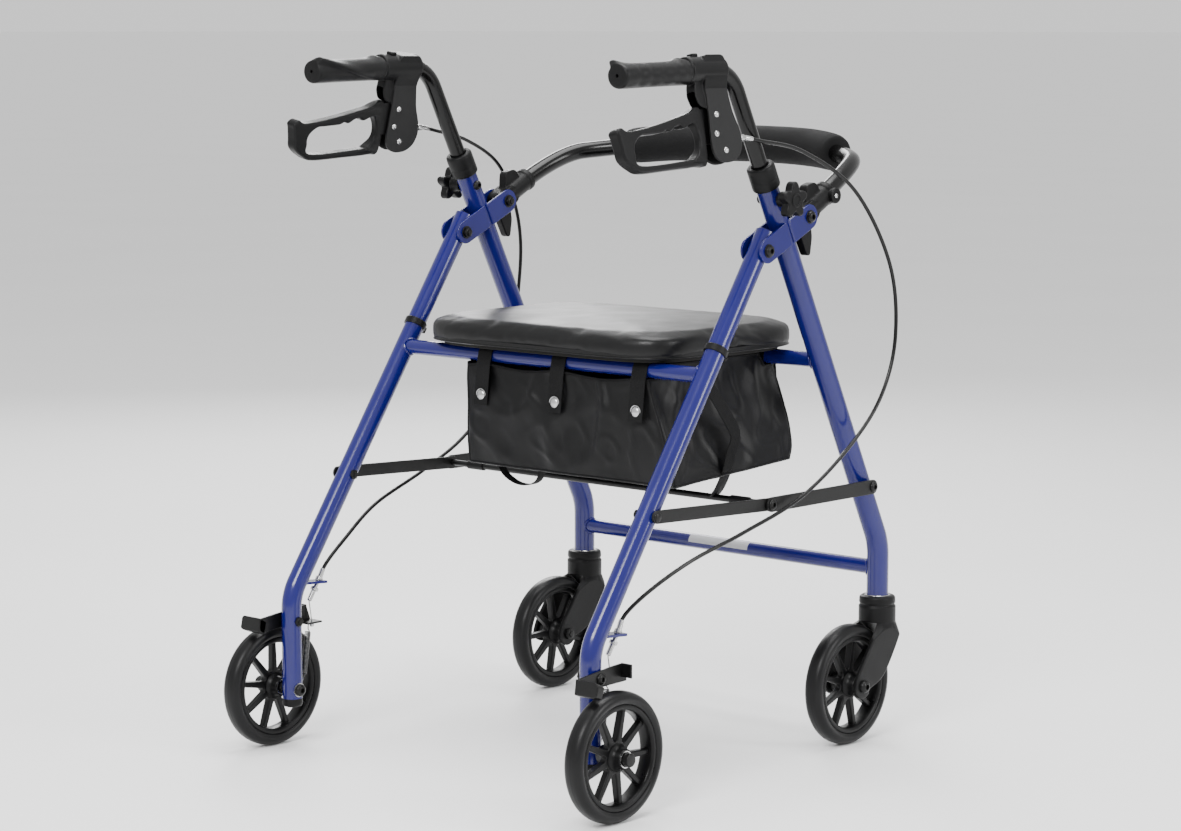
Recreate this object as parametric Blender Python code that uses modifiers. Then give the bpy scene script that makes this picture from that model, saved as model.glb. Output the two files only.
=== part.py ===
"""Rollator walker: folding tube frame, four spoked wheels, padded seat and backrest, cable brakes.

Metres. +X is the user's right, +Y the direction of travel, +Z up. The origin is on the floor
under the middle of the walker. Blender 4.5.
"""

import math

import bmesh
import bpy
from mathutils import Matrix, Vector

# ---------------------------------------------------------------- driving dimensions
GAP = 0.0003                 # air between two pieces that touch
RUN = 0.0005                 # radial clearance of a pin in its hole

WHEEL_RADIUS = 0.0762        # 6 inch wheels, all four alike
TYRE_WIDTH = 0.025
RIM_RADIUS = 0.0622
SPOKES = 9
HUB_HALF = 0.018
AXLE_RADIUS = 0.004

SIDE_X = 0.250               # posts and legs stand in the planes x = +-SIDE_X
REAR_WHEEL_X = 0.2860
REAR_AXLE_Y = -0.2645
HINGE_Y = 0.0355             # fold axis
HINGE_Z = 0.6330

LEG_RADIUS = 0.0125
LEG_BEND_Z = 0.1955
LEG_FOOT_Z = 0.0580
POST_RADIUS = 0.01375
POST_LOW_Y = 0.2825
POST_BEND_Z = 0.2488
POST_FOOT_Z = 0.1822
POST_TOP_Z = 0.7220
POST_TILT = math.radians(26.8)
TUBE_WALL = 0.0016

SEAT_TUBE_Z = 0.4910
CROSS_RADIUS = 0.0095
LOWER_TUBE_Z = 0.2165

PLATE = 0.003                # bracket and link plate thickness
BRACKET_IN = 0.0129          # inner face of a bracket plate from the side plane
BACK_PIVOT = (0.1155, 0.6700)

HANDLE_RADIUS = 0.010
HANDLE_FOOT_Z = 0.5500
HANDLE_END = (-0.2140, 0.8430)
HANDLE_CORNER = (-0.0210, 0.8485)
GRIP_FRONT_Y = -0.1045
SPLAY = math.radians(11.5)   # brake housings lean outward at the bottom
SQUEEZE_PIVOT = (-0.068, -0.053)   # y, and height from the handle axis, in the leaning plane
PARK_PIVOT = (-0.060, -0.095)

KNOB_Z = 0.6930
COLLAR_HEIGHT = 0.030

LINK_REAR = (-0.1675, 0.3375)
LINK_MID = (0.0400, 0.3280)
LINK_FRONT = (0.2432, 0.3265)
BRAKE_PIVOT_Z = 0.1630

CASTER_TRAIL = 0.0620
FORK_TOP_Z = POST_FOOT_Z - GAP
FORK_INNER = 0.0200
FORK_OUTER = 0.0260

SEAT_HALF_WIDTH = 0.205
SEAT_REAR_Y = -0.0980
SEAT_FRONT_Y = 0.2010
SEAT_BASE_TOP = 0.5085
SEAT_PAD_TOP = 0.5390

BAG_X = 0.040
BAG_HALF_WIDTH = 0.164
BAG_BOTTOM_Z = 0.3440

SIDES = (("left", -1), ("right", 1))

for thing in list(bpy.data.objects):
    bpy.data.objects.remove(thing, do_unlink=True)

walker = bpy.data.collections.new("rollator_walker")
cutters = bpy.data.collections.new("cutters")
bpy.context.scene.collection.children.link(walker)
bpy.context.scene.collection.children.link(cutters)


# ---------------------------------------------------------------- materials
def material(name, colour, roughness, metallic=0.0):
    made = bpy.data.materials.new(name)
    made.use_nodes = True
    shader = made.node_tree.nodes["Principled BSDF"]
    shader.inputs["Base Color"].default_value = (*colour, 1.0)
    shader.inputs["Roughness"].default_value = roughness
    shader.inputs["Metallic"].default_value = metallic
    made.diffuse_color = (*colour, 1.0)
    return made


BLUE = material("blue_paint", (0.045, 0.050, 0.300), 0.30)
BLACK_TUBE = material("black_painted_tube", (0.012, 0.012, 0.012), 0.25)
BLACK_STEEL = material("black_steel", (0.015, 0.015, 0.015), 0.45)
PLASTIC = material("black_plastic", (0.020, 0.020, 0.020), 0.50)
RUBBER = material("tyre_rubber", (0.040, 0.040, 0.040), 0.55)
GRIP_RUBBER = material("grip_rubber", (0.030, 0.030, 0.030), 0.60)
FOAM = material("backrest_foam", (0.050, 0.050, 0.050), 0.85)
VINYL = material("seat_vinyl", (0.020, 0.020, 0.020), 0.35)
BOARD = material("seat_board", (0.060, 0.050, 0.040), 0.80)
NYLON = material("bag_nylon", (0.012, 0.012, 0.012), 0.75)
ZINC = material("zinc_steel", (0.600, 0.600, 0.600), 0.30, 1.0)
CABLE = material("cable_sheath", (0.010, 0.010, 0.010), 0.40)


# ---------------------------------------------------------------- tools
def place(name, data, look, collection=walker):
    obj = bpy.data.objects.new(name, data)
    collection.objects.link(obj)
    obj.data.materials.clear()
    obj.data.materials.append(look)
    return obj


def to_mesh(obj):
    """The object as a welded mesh object with its modifiers applied, in the same place."""
    bpy.context.view_layer.update()
    graph = bpy.context.evaluated_depsgraph_get()
    data = bpy.data.meshes.new_from_object(obj.evaluated_get(graph))
    work = bmesh.new()
    work.from_mesh(data)
    bmesh.ops.remove_doubles(work, verts=work.verts, dist=0.000002)
    bmesh.ops.recalc_face_normals(work, faces=work.faces)
    work.to_mesh(data)
    work.free()
    name = obj.name
    look = obj.data.materials[0]
    matrix = obj.matrix_world.copy()
    home = obj.users_collection[0]
    bpy.data.objects.remove(obj, do_unlink=True)
    made = bpy.data.objects.new(name, data)
    home.objects.link(made)
    made.matrix_world = matrix
    data.materials.clear()
    data.materials.append(look)
    return made


def smooth(obj, angle=35):
    obj.data.shade_smooth()
    obj.data.set_sharp_from_angle(angle=math.radians(angle))
    return obj


def boolean(obj, other, operation):
    """Cuts or joins another mesh object into this one, and applies the result."""
    modifier = obj.modifiers.new(operation.lower(), "BOOLEAN")
    modifier.operation = operation
    modifier.object = other
    made = to_mesh(obj)
    bpy.data.objects.remove(other, do_unlink=True)
    return made


def join(obj, *others):
    for other in others:
        obj = boolean(obj, other, "UNION")
    return obj


def cut(obj, *others):
    for other in others:
        obj = boolean(obj, other, "DIFFERENCE")
    return obj


def rounded(points, radius, steps=6):
    """The points of a polyline whose inner corners are turned into arcs of the given radius."""
    points = [Vector(p) for p in points]
    path = [points[0]]
    for before, corner, after in zip(points, points[1:], points[2:]):
        back = (before - corner).normalized()
        ahead = (after - corner).normalized()
        half = back.angle(ahead) / 2
        reach = radius / math.tan(half)
        middle = corner + (back + ahead).normalized() * (radius / math.sin(half))
        start = corner + back * reach - middle
        end = corner + ahead * reach - middle
        turn = start.angle(end)
        for step in range(steps + 1):
            t = step / steps
            mix = (math.sin((1 - t) * turn) * start + math.sin(t * turn) * end) / math.sin(turn)
            path.append(middle + mix)
    path.append(points[-1])
    return path


def rod(name, points, radius, look, sides=12, caps=True, collection=walker):
    """A round bar along the points, as a curve with a bevel, made a mesh."""
    curve = bpy.data.curves.new(name, "CURVE")
    curve.dimensions = "3D"
    curve.bevel_depth = radius
    curve.bevel_resolution = sides // 2 - 2
    curve.use_fill_caps = caps
    spline = curve.splines.new("POLY")
    spline.points.add(len(points) - 1)
    for point, co in zip(spline.points, points):
        point.co = (*co, 1.0)
    return smooth(to_mesh(place(name, curve, look, collection)))


def pipe(name, points, radius, look, wall=TUBE_WALL, sides=12):
    """A hollow tube, open at both ends."""
    obj = rod(name, points, radius, look, sides, caps=False)
    shell = obj.modifiers.new("wall", "SOLIDIFY")
    shell.thickness = wall
    shell.offset = -1
    return to_mesh(obj)


def bar_x(name, y, z, x0, x1, radius, look, sides=12, collection=walker):
    """A round bar along X."""
    return rod(name, [(x0, y, z), (x1, y, z)], radius, look, sides, True, collection)


def outline(name, loops, x0, x1, look, bevel=0.0):
    """A flat plate in the YZ plane between x0 and x1: the first loop is its edge, the rest are holes."""
    curve = bpy.data.curves.new(name, "CURVE")
    curve.dimensions = "2D"
    curve.fill_mode = "BOTH"
    curve.extrude = abs(x1 - x0) / 2 - bevel
    curve.bevel_depth = bevel
    curve.bevel_resolution = 1
    curve.offset = -bevel
    for loop in loops:
        spline = curve.splines.new("POLY")
        spline.points.add(len(loop) - 1)
        for point, (y, z) in zip(spline.points, loop):
            point.co = (y, z, 0.0, 1.0)
        spline.use_cyclic_u = True
    obj = place(name, curve, look)
    turn = Matrix(((0, 0, 1), (1, 0, 0), (0, 1, 0)))
    obj.matrix_world = Matrix.Translation(((x0 + x1) / 2, 0, 0)) @ turn.to_4x4()
    return bake(to_mesh(obj))


def bake(obj):
    """Puts the object's matrix into its mesh."""
    obj.data.transform(obj.matrix_world)
    obj.matrix_world = Matrix.Identity(4)
    return obj


def box(name, low, high, look, collection=walker):
    work = bmesh.new()
    bmesh.ops.create_cube(work, size=1.0)
    data = bpy.data.meshes.new(name)
    work.to_mesh(data)
    work.free()
    size = [b - a for a, b in zip(low, high)]
    middle = [(a + b) / 2 for a, b in zip(low, high)]
    data.transform(Matrix.Translation(middle) @ Matrix.Diagonal((*size, 1.0)))
    return place(name, data, look, collection)


def turned(name, profile, look, steps=32, closed=True):
    """A turned shape about the local Z axis, from (radius, height) points down its outer side."""
    data = bpy.data.meshes.new(name)
    points = [(radius, 0.0, height) for radius, height in profile]
    edges = [(i, i + 1) for i in range(len(points) - 1)]
    if closed:
        edges.append((len(points) - 1, 0))
    data.from_pydata(points, edges, [])
    obj = place(name, data, look)
    spin = obj.modifiers.new("turn", "SCREW")
    spin.steps = steps
    spin.render_steps = steps
    spin.use_merge_vertices = True
    spin.merge_threshold = 0.00001
    return to_mesh(obj)


def circle(y, z, radius, count=16, phase=0.0):
    turns = [phase + math.tau * i / count for i in range(count)]
    return [(y + radius * math.cos(turn), z + radius * math.sin(turn)) for turn in turns]


def stadium(start, end, radius, count=8):
    """A flat bar outline with round ends."""
    angle = math.atan2(end[1] - start[1], end[0] - start[0])
    loop = []
    for centre, base in ((end, angle - math.pi / 2), (start, angle + math.pi / 2)):
        for i in range(count + 1):
            turn = base + math.pi * i / count
            loop.append((centre[0] + radius * math.cos(turn), centre[1] + radius * math.sin(turn)))
    return loop


def set_origin(obj, point):
    """Moves the object's origin to the point and leaves its shape where it is."""
    offset = Vector(point)
    obj.data.transform(Matrix.Translation(-offset))
    obj.matrix_world = Matrix.Translation(offset)
    return obj


def post_y(z):
    """The Y of a post's centre line at height z."""
    return POST_LOW_Y - max(z - POST_BEND_Z, 0.0) * math.tan(POST_TILT)


def leg_y(z):
    """The Y of a leg's centre line at height z."""
    share = (z - LEG_BEND_Z) / (HINGE_Z - LEG_BEND_Z)
    return REAR_AXLE_Y + max(share, 0.0) * (HINGE_Y - REAR_AXLE_Y)


# ---------------------------------------------------------------- front frame
def post_path(x):
    foot = (x, POST_LOW_Y, POST_FOOT_Z)
    bend = (x, POST_LOW_Y, POST_BEND_Z)
    top = (x, post_y(POST_TOP_Z), POST_TOP_Z)
    return rounded([foot, bend, top], 0.070, 5)


def make_post(side, s):
    """A bent post with its bracket's two welded plates, bored for the link and the height knob."""
    x = s * SIDE_X
    post = pipe(f"{side}_post", post_path(x), POST_RADIUS, BLUE)
    inner, outer = x + s * 0.005, x + s * 0.020
    stud_holes = ((*LINK_FRONT, AXLE_RADIUS + RUN), (post_y(KNOB_Z), KNOB_Z, 0.0030 + RUN))
    for y, z, radius in stud_holes:
        post = cut(post, bar_x("cutter_stud", y, z, inner, outer, radius, BLUE, collection=cutters))
    holes = [circle(HINGE_Y, HINGE_Z, AXLE_RADIUS + RUN), circle(*BACK_PIVOT, AXLE_RADIUS + RUN)]
    for face in (BRACKET_IN, -BRACKET_IN - PLATE):
        loops = [stadium((HINGE_Y, HINGE_Z), BACK_PIVOT, 0.015), *holes]
        post = join(post, outline("plate", loops, x + face, x + face + PLATE, BLUE))
    return smooth(post)


def make_cross_tube(name, y, z, x_half, side_paths, side_radius):
    """A cross tube whose ends are coped to the round side tubes."""
    tube = pipe(name, [(-x_half, y, z), (x_half, y, z)], CROSS_RADIUS, BLUE)
    for path in side_paths:
        tube = cut(tube, rod("cutter_cope", path, side_radius + GAP, BLUE, 16, collection=cutters))
    return smooth(tube)


def make_front_frame():
    for side, s in SIDES:
        make_post(side, s)
        make_collar(side, s)
        make_bolt(f"{side}_hinge_bolt", s, HINGE_Y, HINGE_Z)
        make_bolt(f"{side}_backrest_bolt", s, *BACK_PIVOT)
    low = [[(s * SIDE_X, POST_LOW_Y, 0.15), (s * SIDE_X, POST_LOW_Y, 0.23)] for _, s in SIDES]
    make_cross_tube("lower_front_tube", POST_LOW_Y, LOWER_TUBE_Z, SIDE_X - 0.006, low, POST_RADIUS)
    high = [[(s * SIDE_X, post_y(0.42), 0.42), (s * SIDE_X, post_y(0.56), 0.56)] for _, s in SIDES]
    seat_tube_y = post_y(SEAT_TUBE_Z)
    make_cross_tube("front_seat_tube", seat_tube_y, SEAT_TUBE_Z, SIDE_X - 0.006, high, POST_RADIUS)


def make_collar(side, s):
    """The plastic bush on a post's top, which the handle tube slides through."""
    bore = HANDLE_RADIUS + 0.0004
    sleeve = POST_RADIUS + GAP
    step = 0.0165
    profile = [
        (bore, COLLAR_HEIGHT),
        (0.0150, COLLAR_HEIGHT),
        (0.0172, COLLAR_HEIGHT - 0.003),
        (0.0172, 0.002),
        (0.0164, 0.0),
        (sleeve, 0.0),
        (sleeve, step),
        (bore, step),
    ]
    collar = turned(f"{side}_collar", profile, PLASTIC, 16)
    start_z = POST_TOP_Z - (step - GAP) * math.cos(POST_TILT)
    collar.matrix_world = Matrix.Translation((s * SIDE_X, post_y(start_z), start_z)) @ Matrix.Rotation(
        POST_TILT, 4, "X"
    )
    return smooth(bake(collar))


def make_bolt(name, s, y, z, reach=BRACKET_IN + PLATE, look=BLACK_STEEL, radius=AXLE_RADIUS):
    """A through bolt with a low round head outboard and a nut inboard."""
    x = s * SIDE_X
    shank = bar_x(name, y, z, x - reach - 0.003, x + reach + 0.003, radius, look, 16)
    head = bar_x("head", y, z, x + s * (reach + GAP), x + s * (reach + 0.0045), 0.0070, look, 16)
    nut = bar_x("nut", y, z, x - s * (reach + GAP), x - s * (reach + 0.0060), 0.0070, look, 6)
    return smooth(join(shank, head, nut))


# ---------------------------------------------------------------- rear frame
def leg_path(x):
    top_z = HINGE_Z + 0.020
    return rounded(
        [(x, REAR_AXLE_Y, LEG_FOOT_Z), (x, REAR_AXLE_Y, LEG_BEND_Z), (x, leg_y(top_z), top_z)], 0.060, 5
    )


def make_leg(side, s):
    """A bent leg, bored for its hinge, link, brake and axle, with the cable guide tab welded on."""
    x = s * SIDE_X
    leg = pipe(f"{side}_leg", leg_path(x), LEG_RADIUS, BLUE)
    through = ((HINGE_Y, HINGE_Z), (REAR_AXLE_Y, WHEEL_RADIUS), (REAR_AXLE_Y, BRAKE_PIVOT_Z), LINK_REAR)
    bore = AXLE_RADIUS + RUN
    for y, z in through:
        leg = cut(leg, bar_x("cutter_pin", y, z, x - 0.02, x + 0.02, bore, BLUE, collection=cutters))
    tab_loop = [(-0.2505, 0.2100), (-0.2110, 0.2070), (-0.2110, 0.2040), (-0.2505, 0.2070)]
    tab = outline("tab", [tab_loop], x - 0.009, x + 0.009, BLUE)
    tab = cut(tab, rod("cutter_ferrule", guide_line(x, 0.012), 0.0024, BLUE, collection=cutters))
    return smooth(join(leg, tab))


def guide_line(x, half):
    """The line that the cable follows through its guide tab, along the leg."""
    middle = Vector((x, -0.2190, 0.2065))
    along = Vector((0, HINGE_Y - REAR_AXLE_Y, HINGE_Z - LEG_BEND_Z)).normalized()
    return [middle - along * half, middle + along * half]


def make_rear_frame():
    for side, s in SIDES:
        make_leg(side, s)
        make_rear_axle(side, s)
        make_spring(side, s)
    sides = [[(s * SIDE_X, leg_y(0.42), 0.42), (s * SIDE_X, leg_y(0.56), 0.56)] for _, s in SIDES]
    make_cross_tube("rear_seat_tube", leg_y(SEAT_TUBE_Z), SEAT_TUBE_Z, SIDE_X - 0.005, sides, LEG_RADIUS)


def make_rear_axle(side, s):
    """The axle bolt, from its head inboard of the leg, through the leg and hub, to its cap outboard."""
    leg_face = s * (SIDE_X + LEG_RADIUS)
    hub_in = s * (REAR_WHEEL_X - HUB_HALF)
    hub_out = s * (REAR_WHEEL_X + HUB_HALF)
    name = f"{side}_rear_axle"
    shank = bar_x(name, REAR_AXLE_Y, WHEEL_RADIUS, s * 0.234, hub_out + s * 0.004, AXLE_RADIUS, BLACK_STEEL)
    pieces = (
        (s * 0.2315, s * (SIDE_X - LEG_RADIUS - GAP), 0.0075),
        (leg_face + s * GAP, hub_in - s * GAP, 0.0065),
        (hub_out + s * GAP, hub_out + s * 0.0090, 0.0085),
    )
    solids = [bar_x("piece", REAR_AXLE_Y, WHEEL_RADIUS, a, b, radius, BLACK_STEEL) for a, b, radius in pieces]
    return smooth(join(shank, *solids))


def make_spring(side, s):
    """The return spring's outer shape, from the brake arm's tongue to the axle, in front of the leg."""
    x = s * SIDE_X
    line = [(x, -0.2512, 0.0840), (x, -0.2462, 0.0850), (x, -0.2365, 0.1525)]
    return rod(f"{side}_brake_spring", line, 0.0030, ZINC, 8)


# ---------------------------------------------------------------- wheels
def wheel_core_mesh():
    """Rim, hub and nine tapered spokes in one moulding, spun about local X."""
    rim_half = [(0.0535, 0.004), (0.0560, 0.0105), (RIM_RADIUS, 0.0105)]
    rim = turned("rim", rim_half + [(radius, -height) for radius, height in rim_half[::-1]], PLASTIC, 30)
    bore = AXLE_RADIUS + RUN
    hub = turned(
        "hub",
        [
            (bore, HUB_HALF),
            (0.0120, HUB_HALF),
            (0.0125, 0.012),
            (0.0165, 0.006),
            (0.0165, -0.006),
            (0.0125, -0.012),
            (0.0120, -HUB_HALF),
            (bore, -HUB_HALF),
        ],
        PLASTIC,
        12,
    )
    for ring in (rim, hub):
        ring.matrix_world = Matrix.Rotation(math.pi / 2, 4, "Y")
        bake(ring)
    windows = []
    for i in range(SPOKES):
        middle = -math.pi / 2 + math.tau * (i + 0.5) / SPOKES
        half = math.pi / SPOKES
        loop = []
        for turn in (-0.80, -0.27, 0.27, 0.80):
            loop.append((0.0550, middle + turn * half))
        loop.append((0.0190, middle + 0.34 * half))
        loop.append((0.0190, middle - 0.34 * half))
        windows.append([(r * math.cos(a), r * math.sin(a)) for r, a in loop])
    loops = [circle(0, 0, 0.0585, 30), *windows, circle(0, 0, 0.0090, 12)]
    disc = outline("disc", loops, -0.0045, 0.0045, PLASTIC)
    core = join(disc, rim, hub)
    data = core.data
    bpy.data.objects.remove(core, do_unlink=True)
    data.name = "wheel_core"
    return data


def tyre_mesh():
    """A solid tyre with a round shoulder, spun about local X."""
    half = TYRE_WIDTH / 2
    profile = [(RIM_RADIUS + GAP, half - 0.002), (0.0700, half), (0.0742, half - 0.0030)]
    profile += [(WHEEL_RADIUS, 0.0030), (WHEEL_RADIUS, -0.0030)]
    profile += [(0.0742, 0.0030 - half), (0.0700, -half), (RIM_RADIUS + GAP, 0.002 - half)]
    tyre = turned("tyre", profile, RUBBER, 36)
    tyre.matrix_world = Matrix.Rotation(math.pi / 2, 4, "Y")
    data = bake(tyre).data
    bpy.data.objects.remove(tyre, do_unlink=True)
    return data


def make_wheel(name, core_data, tyre_data, x, y):
    for part, data, look in (("core", core_data, PLASTIC), ("tyre", tyre_data, RUBBER)):
        obj = place(f"{name}_{part}", data, look)
        obj.location = (x, y, WHEEL_RADIUS)
        smooth(obj)


def make_wheels():
    core_data = wheel_core_mesh()
    tyre_data = tyre_mesh()
    for side, s in SIDES:
        make_wheel(f"{side}_rear_wheel", core_data, tyre_data, s * REAR_WHEEL_X, REAR_AXLE_Y)
        make_wheel(f"{side}_caster_wheel", core_data, tyre_data, s * SIDE_X, POST_LOW_Y - CASTER_TRAIL)


# ---------------------------------------------------------------- casters
def make_fork(side, s):
    """A moulded fork with its dust ring and its steel stem, which turns in the post's foot."""
    x = s * SIDE_X
    axle_y = POST_LOW_Y - CASTER_TRAIL
    top = FORK_TOP_Z
    profile = [
        (0.0, 0.235),
        (0.0055, 0.235),
        (0.0060, 0.2345),
        (0.0060, top + 0.0001),
        (0.0200, top),
        (0.0230, top - 0.003),
        (0.0230, 0.1715),
        (0.0220, 0.1705),
        (0.0228, 0.1695),
        (0.0232, 0.1560),
        (0.0, 0.1560),
    ]
    neck = turned(f"{side}_caster_fork", profile, PLASTIC, 16, closed=False)
    neck.matrix_world = Matrix.Translation((x, POST_LOW_Y, 0))
    neck = bake(neck)
    loops = [fork_outline(axle_y), circle(axle_y, WHEEL_RADIUS, AXLE_RADIUS + RUN)]
    arms = []
    for low, high in ((FORK_INNER, FORK_OUTER), (-FORK_OUTER, -FORK_INNER)):
        arms.append(outline("arm", loops, x + low, x + high, PLASTIC))
    crown = box("crown", (x - 0.0230, 0.2560, 0.1565), (x + 0.0230, 0.3030, 0.1650), PLASTIC)
    return smooth(join(neck, crown, *arms))


def fork_outline(axle_y):
    """The side view of a fork arm, from the neck down and back to the axle boss."""
    front = [(0.3040, 0.1660), (0.3035, 0.1500), (0.2935, 0.1250), (0.2640, 0.0840)]
    rear = [(0.2120, 0.0920), (0.2360, 0.1250), (0.2540, 0.1500), (0.2570, 0.1660)]
    boss = []
    for i in range(9):
        turn = math.radians(-20 - 150 * i / 8)
        boss.append((axle_y + 0.016 * math.cos(turn), WHEEL_RADIUS + 0.016 * math.sin(turn)))
    return front + boss + rear


def make_caster_axle(side, s):
    x = s * SIDE_X
    y = POST_LOW_Y - CASTER_TRAIL
    shank = bar_x(f"{side}_caster_axle", y, WHEEL_RADIUS, x - 0.030, x + 0.030, AXLE_RADIUS, BLACK_STEEL)
    caps = []
    for way in (-1, 1):
        start, end = x + way * (FORK_OUTER + GAP), x + way * 0.0335
        caps.append(bar_x("cap", y, WHEEL_RADIUS, start, end, 0.0080, BLACK_STEEL))
    return smooth(join(shank, *caps))


# ---------------------------------------------------------------- folding links
def make_links():
    """The two link pairs, and the rod that ties the left and right middle pivots."""
    rear_face = POST_RADIUS + 0.0006
    front_face = rear_face + PLATE + 0.0006
    for side, s in SIDES:
        x = s * SIDE_X
        low, high = sorted((x + s * rear_face, x + s * (rear_face + PLATE)))
        rear = outline(f"{side}_rear_link", [stadium(LINK_REAR, LINK_MID, 0.0078)], low, high, BLACK_STEEL)
        end = x + s * (rear_face + 0.001)
        stud = bar_x("stud", *LINK_REAR, x - s * 0.0160, end, AXLE_RADIUS, BLACK_STEEL)
        nut = bar_x("nut", *LINK_REAR, x - s * 0.0160, x - s * (LEG_RADIUS + GAP), 0.0065, BLACK_STEEL, 6)
        smooth(join(rear, stud, nut))
        low, high = sorted((x + s * front_face, x + s * (front_face + PLATE)))
        front = outline(f"{side}_front_link", [stadium(LINK_MID, LINK_FRONT, 0.0090)], low, high, BLACK_STEEL)
        end = x + s * (front_face + 0.001)
        stud = bar_x("stud", *LINK_FRONT, x + s * 0.0080, end, AXLE_RADIUS, BLACK_STEEL)
        start = x + s * (front_face + 0.0015)
        end = x + s * (front_face + PLATE + 0.0030)
        heads = [bar_x("head", *pivot, start, end, 0.0065, BLACK_STEEL) for pivot in (LINK_MID, LINK_FRONT)]
        smooth(join(front, stud, *heads))
    reach = SIDE_X + rear_face - GAP
    bar_x("link_rod", *LINK_MID, -reach, reach, 0.0040, BLACK_STEEL, 16)


# ---------------------------------------------------------------- rear brakes
def make_brake_arm(side, s):
    """The pressed arm beside the leg: shoe over the tyre behind, cable tongue in front, pin in the leg."""
    x = s * SIDE_X
    face = x + s * (LEG_RADIUS + 0.0010)
    back = face + s * 0.0025
    low, high = sorted((face, back))
    pivot = (REAR_AXLE_Y, BRAKE_PIVOT_Z)
    web_loop = [(-0.3000, 0.1500), (-0.2700, 0.1535), (-0.2200, 0.1545), (-0.2200, 0.1575)]
    web_loop += [(-0.2270, 0.1760), (-0.2440, 0.1750), (-0.2645, 0.1730)]
    web_loop += [(-0.3040, 0.1690), (-0.3060, 0.1540)]
    web = outline(f"{side}_brake_arm", [web_loop], low, high, BLACK_STEEL)
    shoe = [(-0.3075, 0.1520), (-0.2975, 0.1478), (-0.2935, 0.1640), (-0.3050, 0.1700)]
    flange = [(-0.2290, 0.1600), (-0.2262, 0.1600), (-0.2262, 0.1765), (-0.2290, 0.1755)]
    tongue = [(-0.2420, 0.1545), (-0.2180, 0.1545), (-0.2180, 0.1570), (-0.2420, 0.1570)]
    spans = (
        (shoe, face, x + s * 0.0475),
        (flange, face, x + s * 0.0300),
        (tongue, x - s * 0.0060, face + s * 0.0010),
    )
    plates = [outline("plate", [loop], *sorted(ends), BLACK_STEEL) for loop, *ends in spans]
    pin = bar_x("pin", *pivot, x - s * 0.0165, face + s * 0.0010, AXLE_RADIUS, BLACK_STEEL)
    nut = bar_x("nut", *pivot, x - s * 0.0170, x - s * (LEG_RADIUS + GAP), 0.0065, BLACK_STEEL, 6)
    return set_origin(smooth(join(web, *plates, pin, nut)), (x, *pivot))


# ---------------------------------------------------------------- handles
def handle_path(x):
    foot = (x, post_y(HANDLE_FOOT_Z), HANDLE_FOOT_Z)
    return rounded([foot, (x, *HANDLE_CORNER), (x, *HANDLE_END)], 0.050, 7)


def handle_z(y):
    """The height of the handle's level part at y."""
    share = (y - HANDLE_END[0]) / (HANDLE_CORNER[0] - HANDLE_END[0])
    return HANDLE_END[1] + share * (HANDLE_CORNER[1] - HANDLE_END[1])


def loft(name, rings, look):
    """A closed skin over rings of the same number of points."""
    count = len(rings[0])
    work = bmesh.new()
    rows = [[work.verts.new(p) for p in ring] for ring in rings]
    for row, after in zip(rows, rows[1:]):
        for i in range(count):
            work.faces.new((row[i], row[(i + 1) % count], after[(i + 1) % count], after[i]))
    work.faces.new(rows[0][::-1])
    work.faces.new(rows[-1])
    bmesh.ops.recalc_face_normals(work, faces=work.faces)
    data = bpy.data.meshes.new(name)
    work.to_mesh(data)
    work.free()
    return place(name, data, look)


def make_grip(side, s):
    """A moulded grip, round in front and widening to a palm rest at its rear end, over the tube's end."""
    x = s * SIDE_X
    sections = (
        (-0.2190, 0.0150, 0.0135, 0.0145),
        (-0.2170, 0.0180, 0.0140, 0.0150),
        (-0.2000, 0.0185, 0.0138, 0.0152),
        (-0.1750, 0.0172, 0.0133, 0.0152),
        (-0.1450, 0.0160, 0.0128, 0.0152),
        (-0.1200, 0.0154, 0.0126, 0.0150),
        (GRIP_FRONT_Y, 0.0156, 0.0132, 0.0152),
    )
    rings = []
    for y, half_width, above, below in sections:
        ring = []
        for i in range(20):
            turn = math.tau * i / 20
            rise = math.sin(turn)
            height = (above if rise > 0 else below) * rise
            ring.append((x + half_width * math.cos(turn), y, handle_z(y) + height))
        rings.append(ring)
    grip = loft(f"{side}_grip", rings, GRIP_RUBBER)
    rear = HANDLE_END[0] - GAP
    bore_path = [(x, rear, handle_z(rear)), (x, -0.0900, handle_z(-0.0900))]
    bore = rod("cutter_tube", bore_path, HANDLE_RADIUS + GAP, GRIP_RUBBER, 16, collection=cutters)
    return smooth(cut(grip, bore))


def lean(obj, s):
    """Swings a piece made in the upright side plane about the handle's axis, outward at the bottom."""
    pivot = Vector((s * SIDE_X, 0, handle_z(SQUEEZE_PIVOT[0])))
    obj.matrix_world = Matrix.Translation(pivot) @ Matrix.Rotation(-s * SPLAY, 4, "Y")
    return bake(obj)


def leaning_point(s, y, height):
    """A point of the leaning plane in world axes."""
    base = handle_z(SQUEEZE_PIVOT[0])
    return Vector((s * SIDE_X - s * math.sin(SPLAY) * height, y, base + math.cos(SPLAY) * height))


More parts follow.
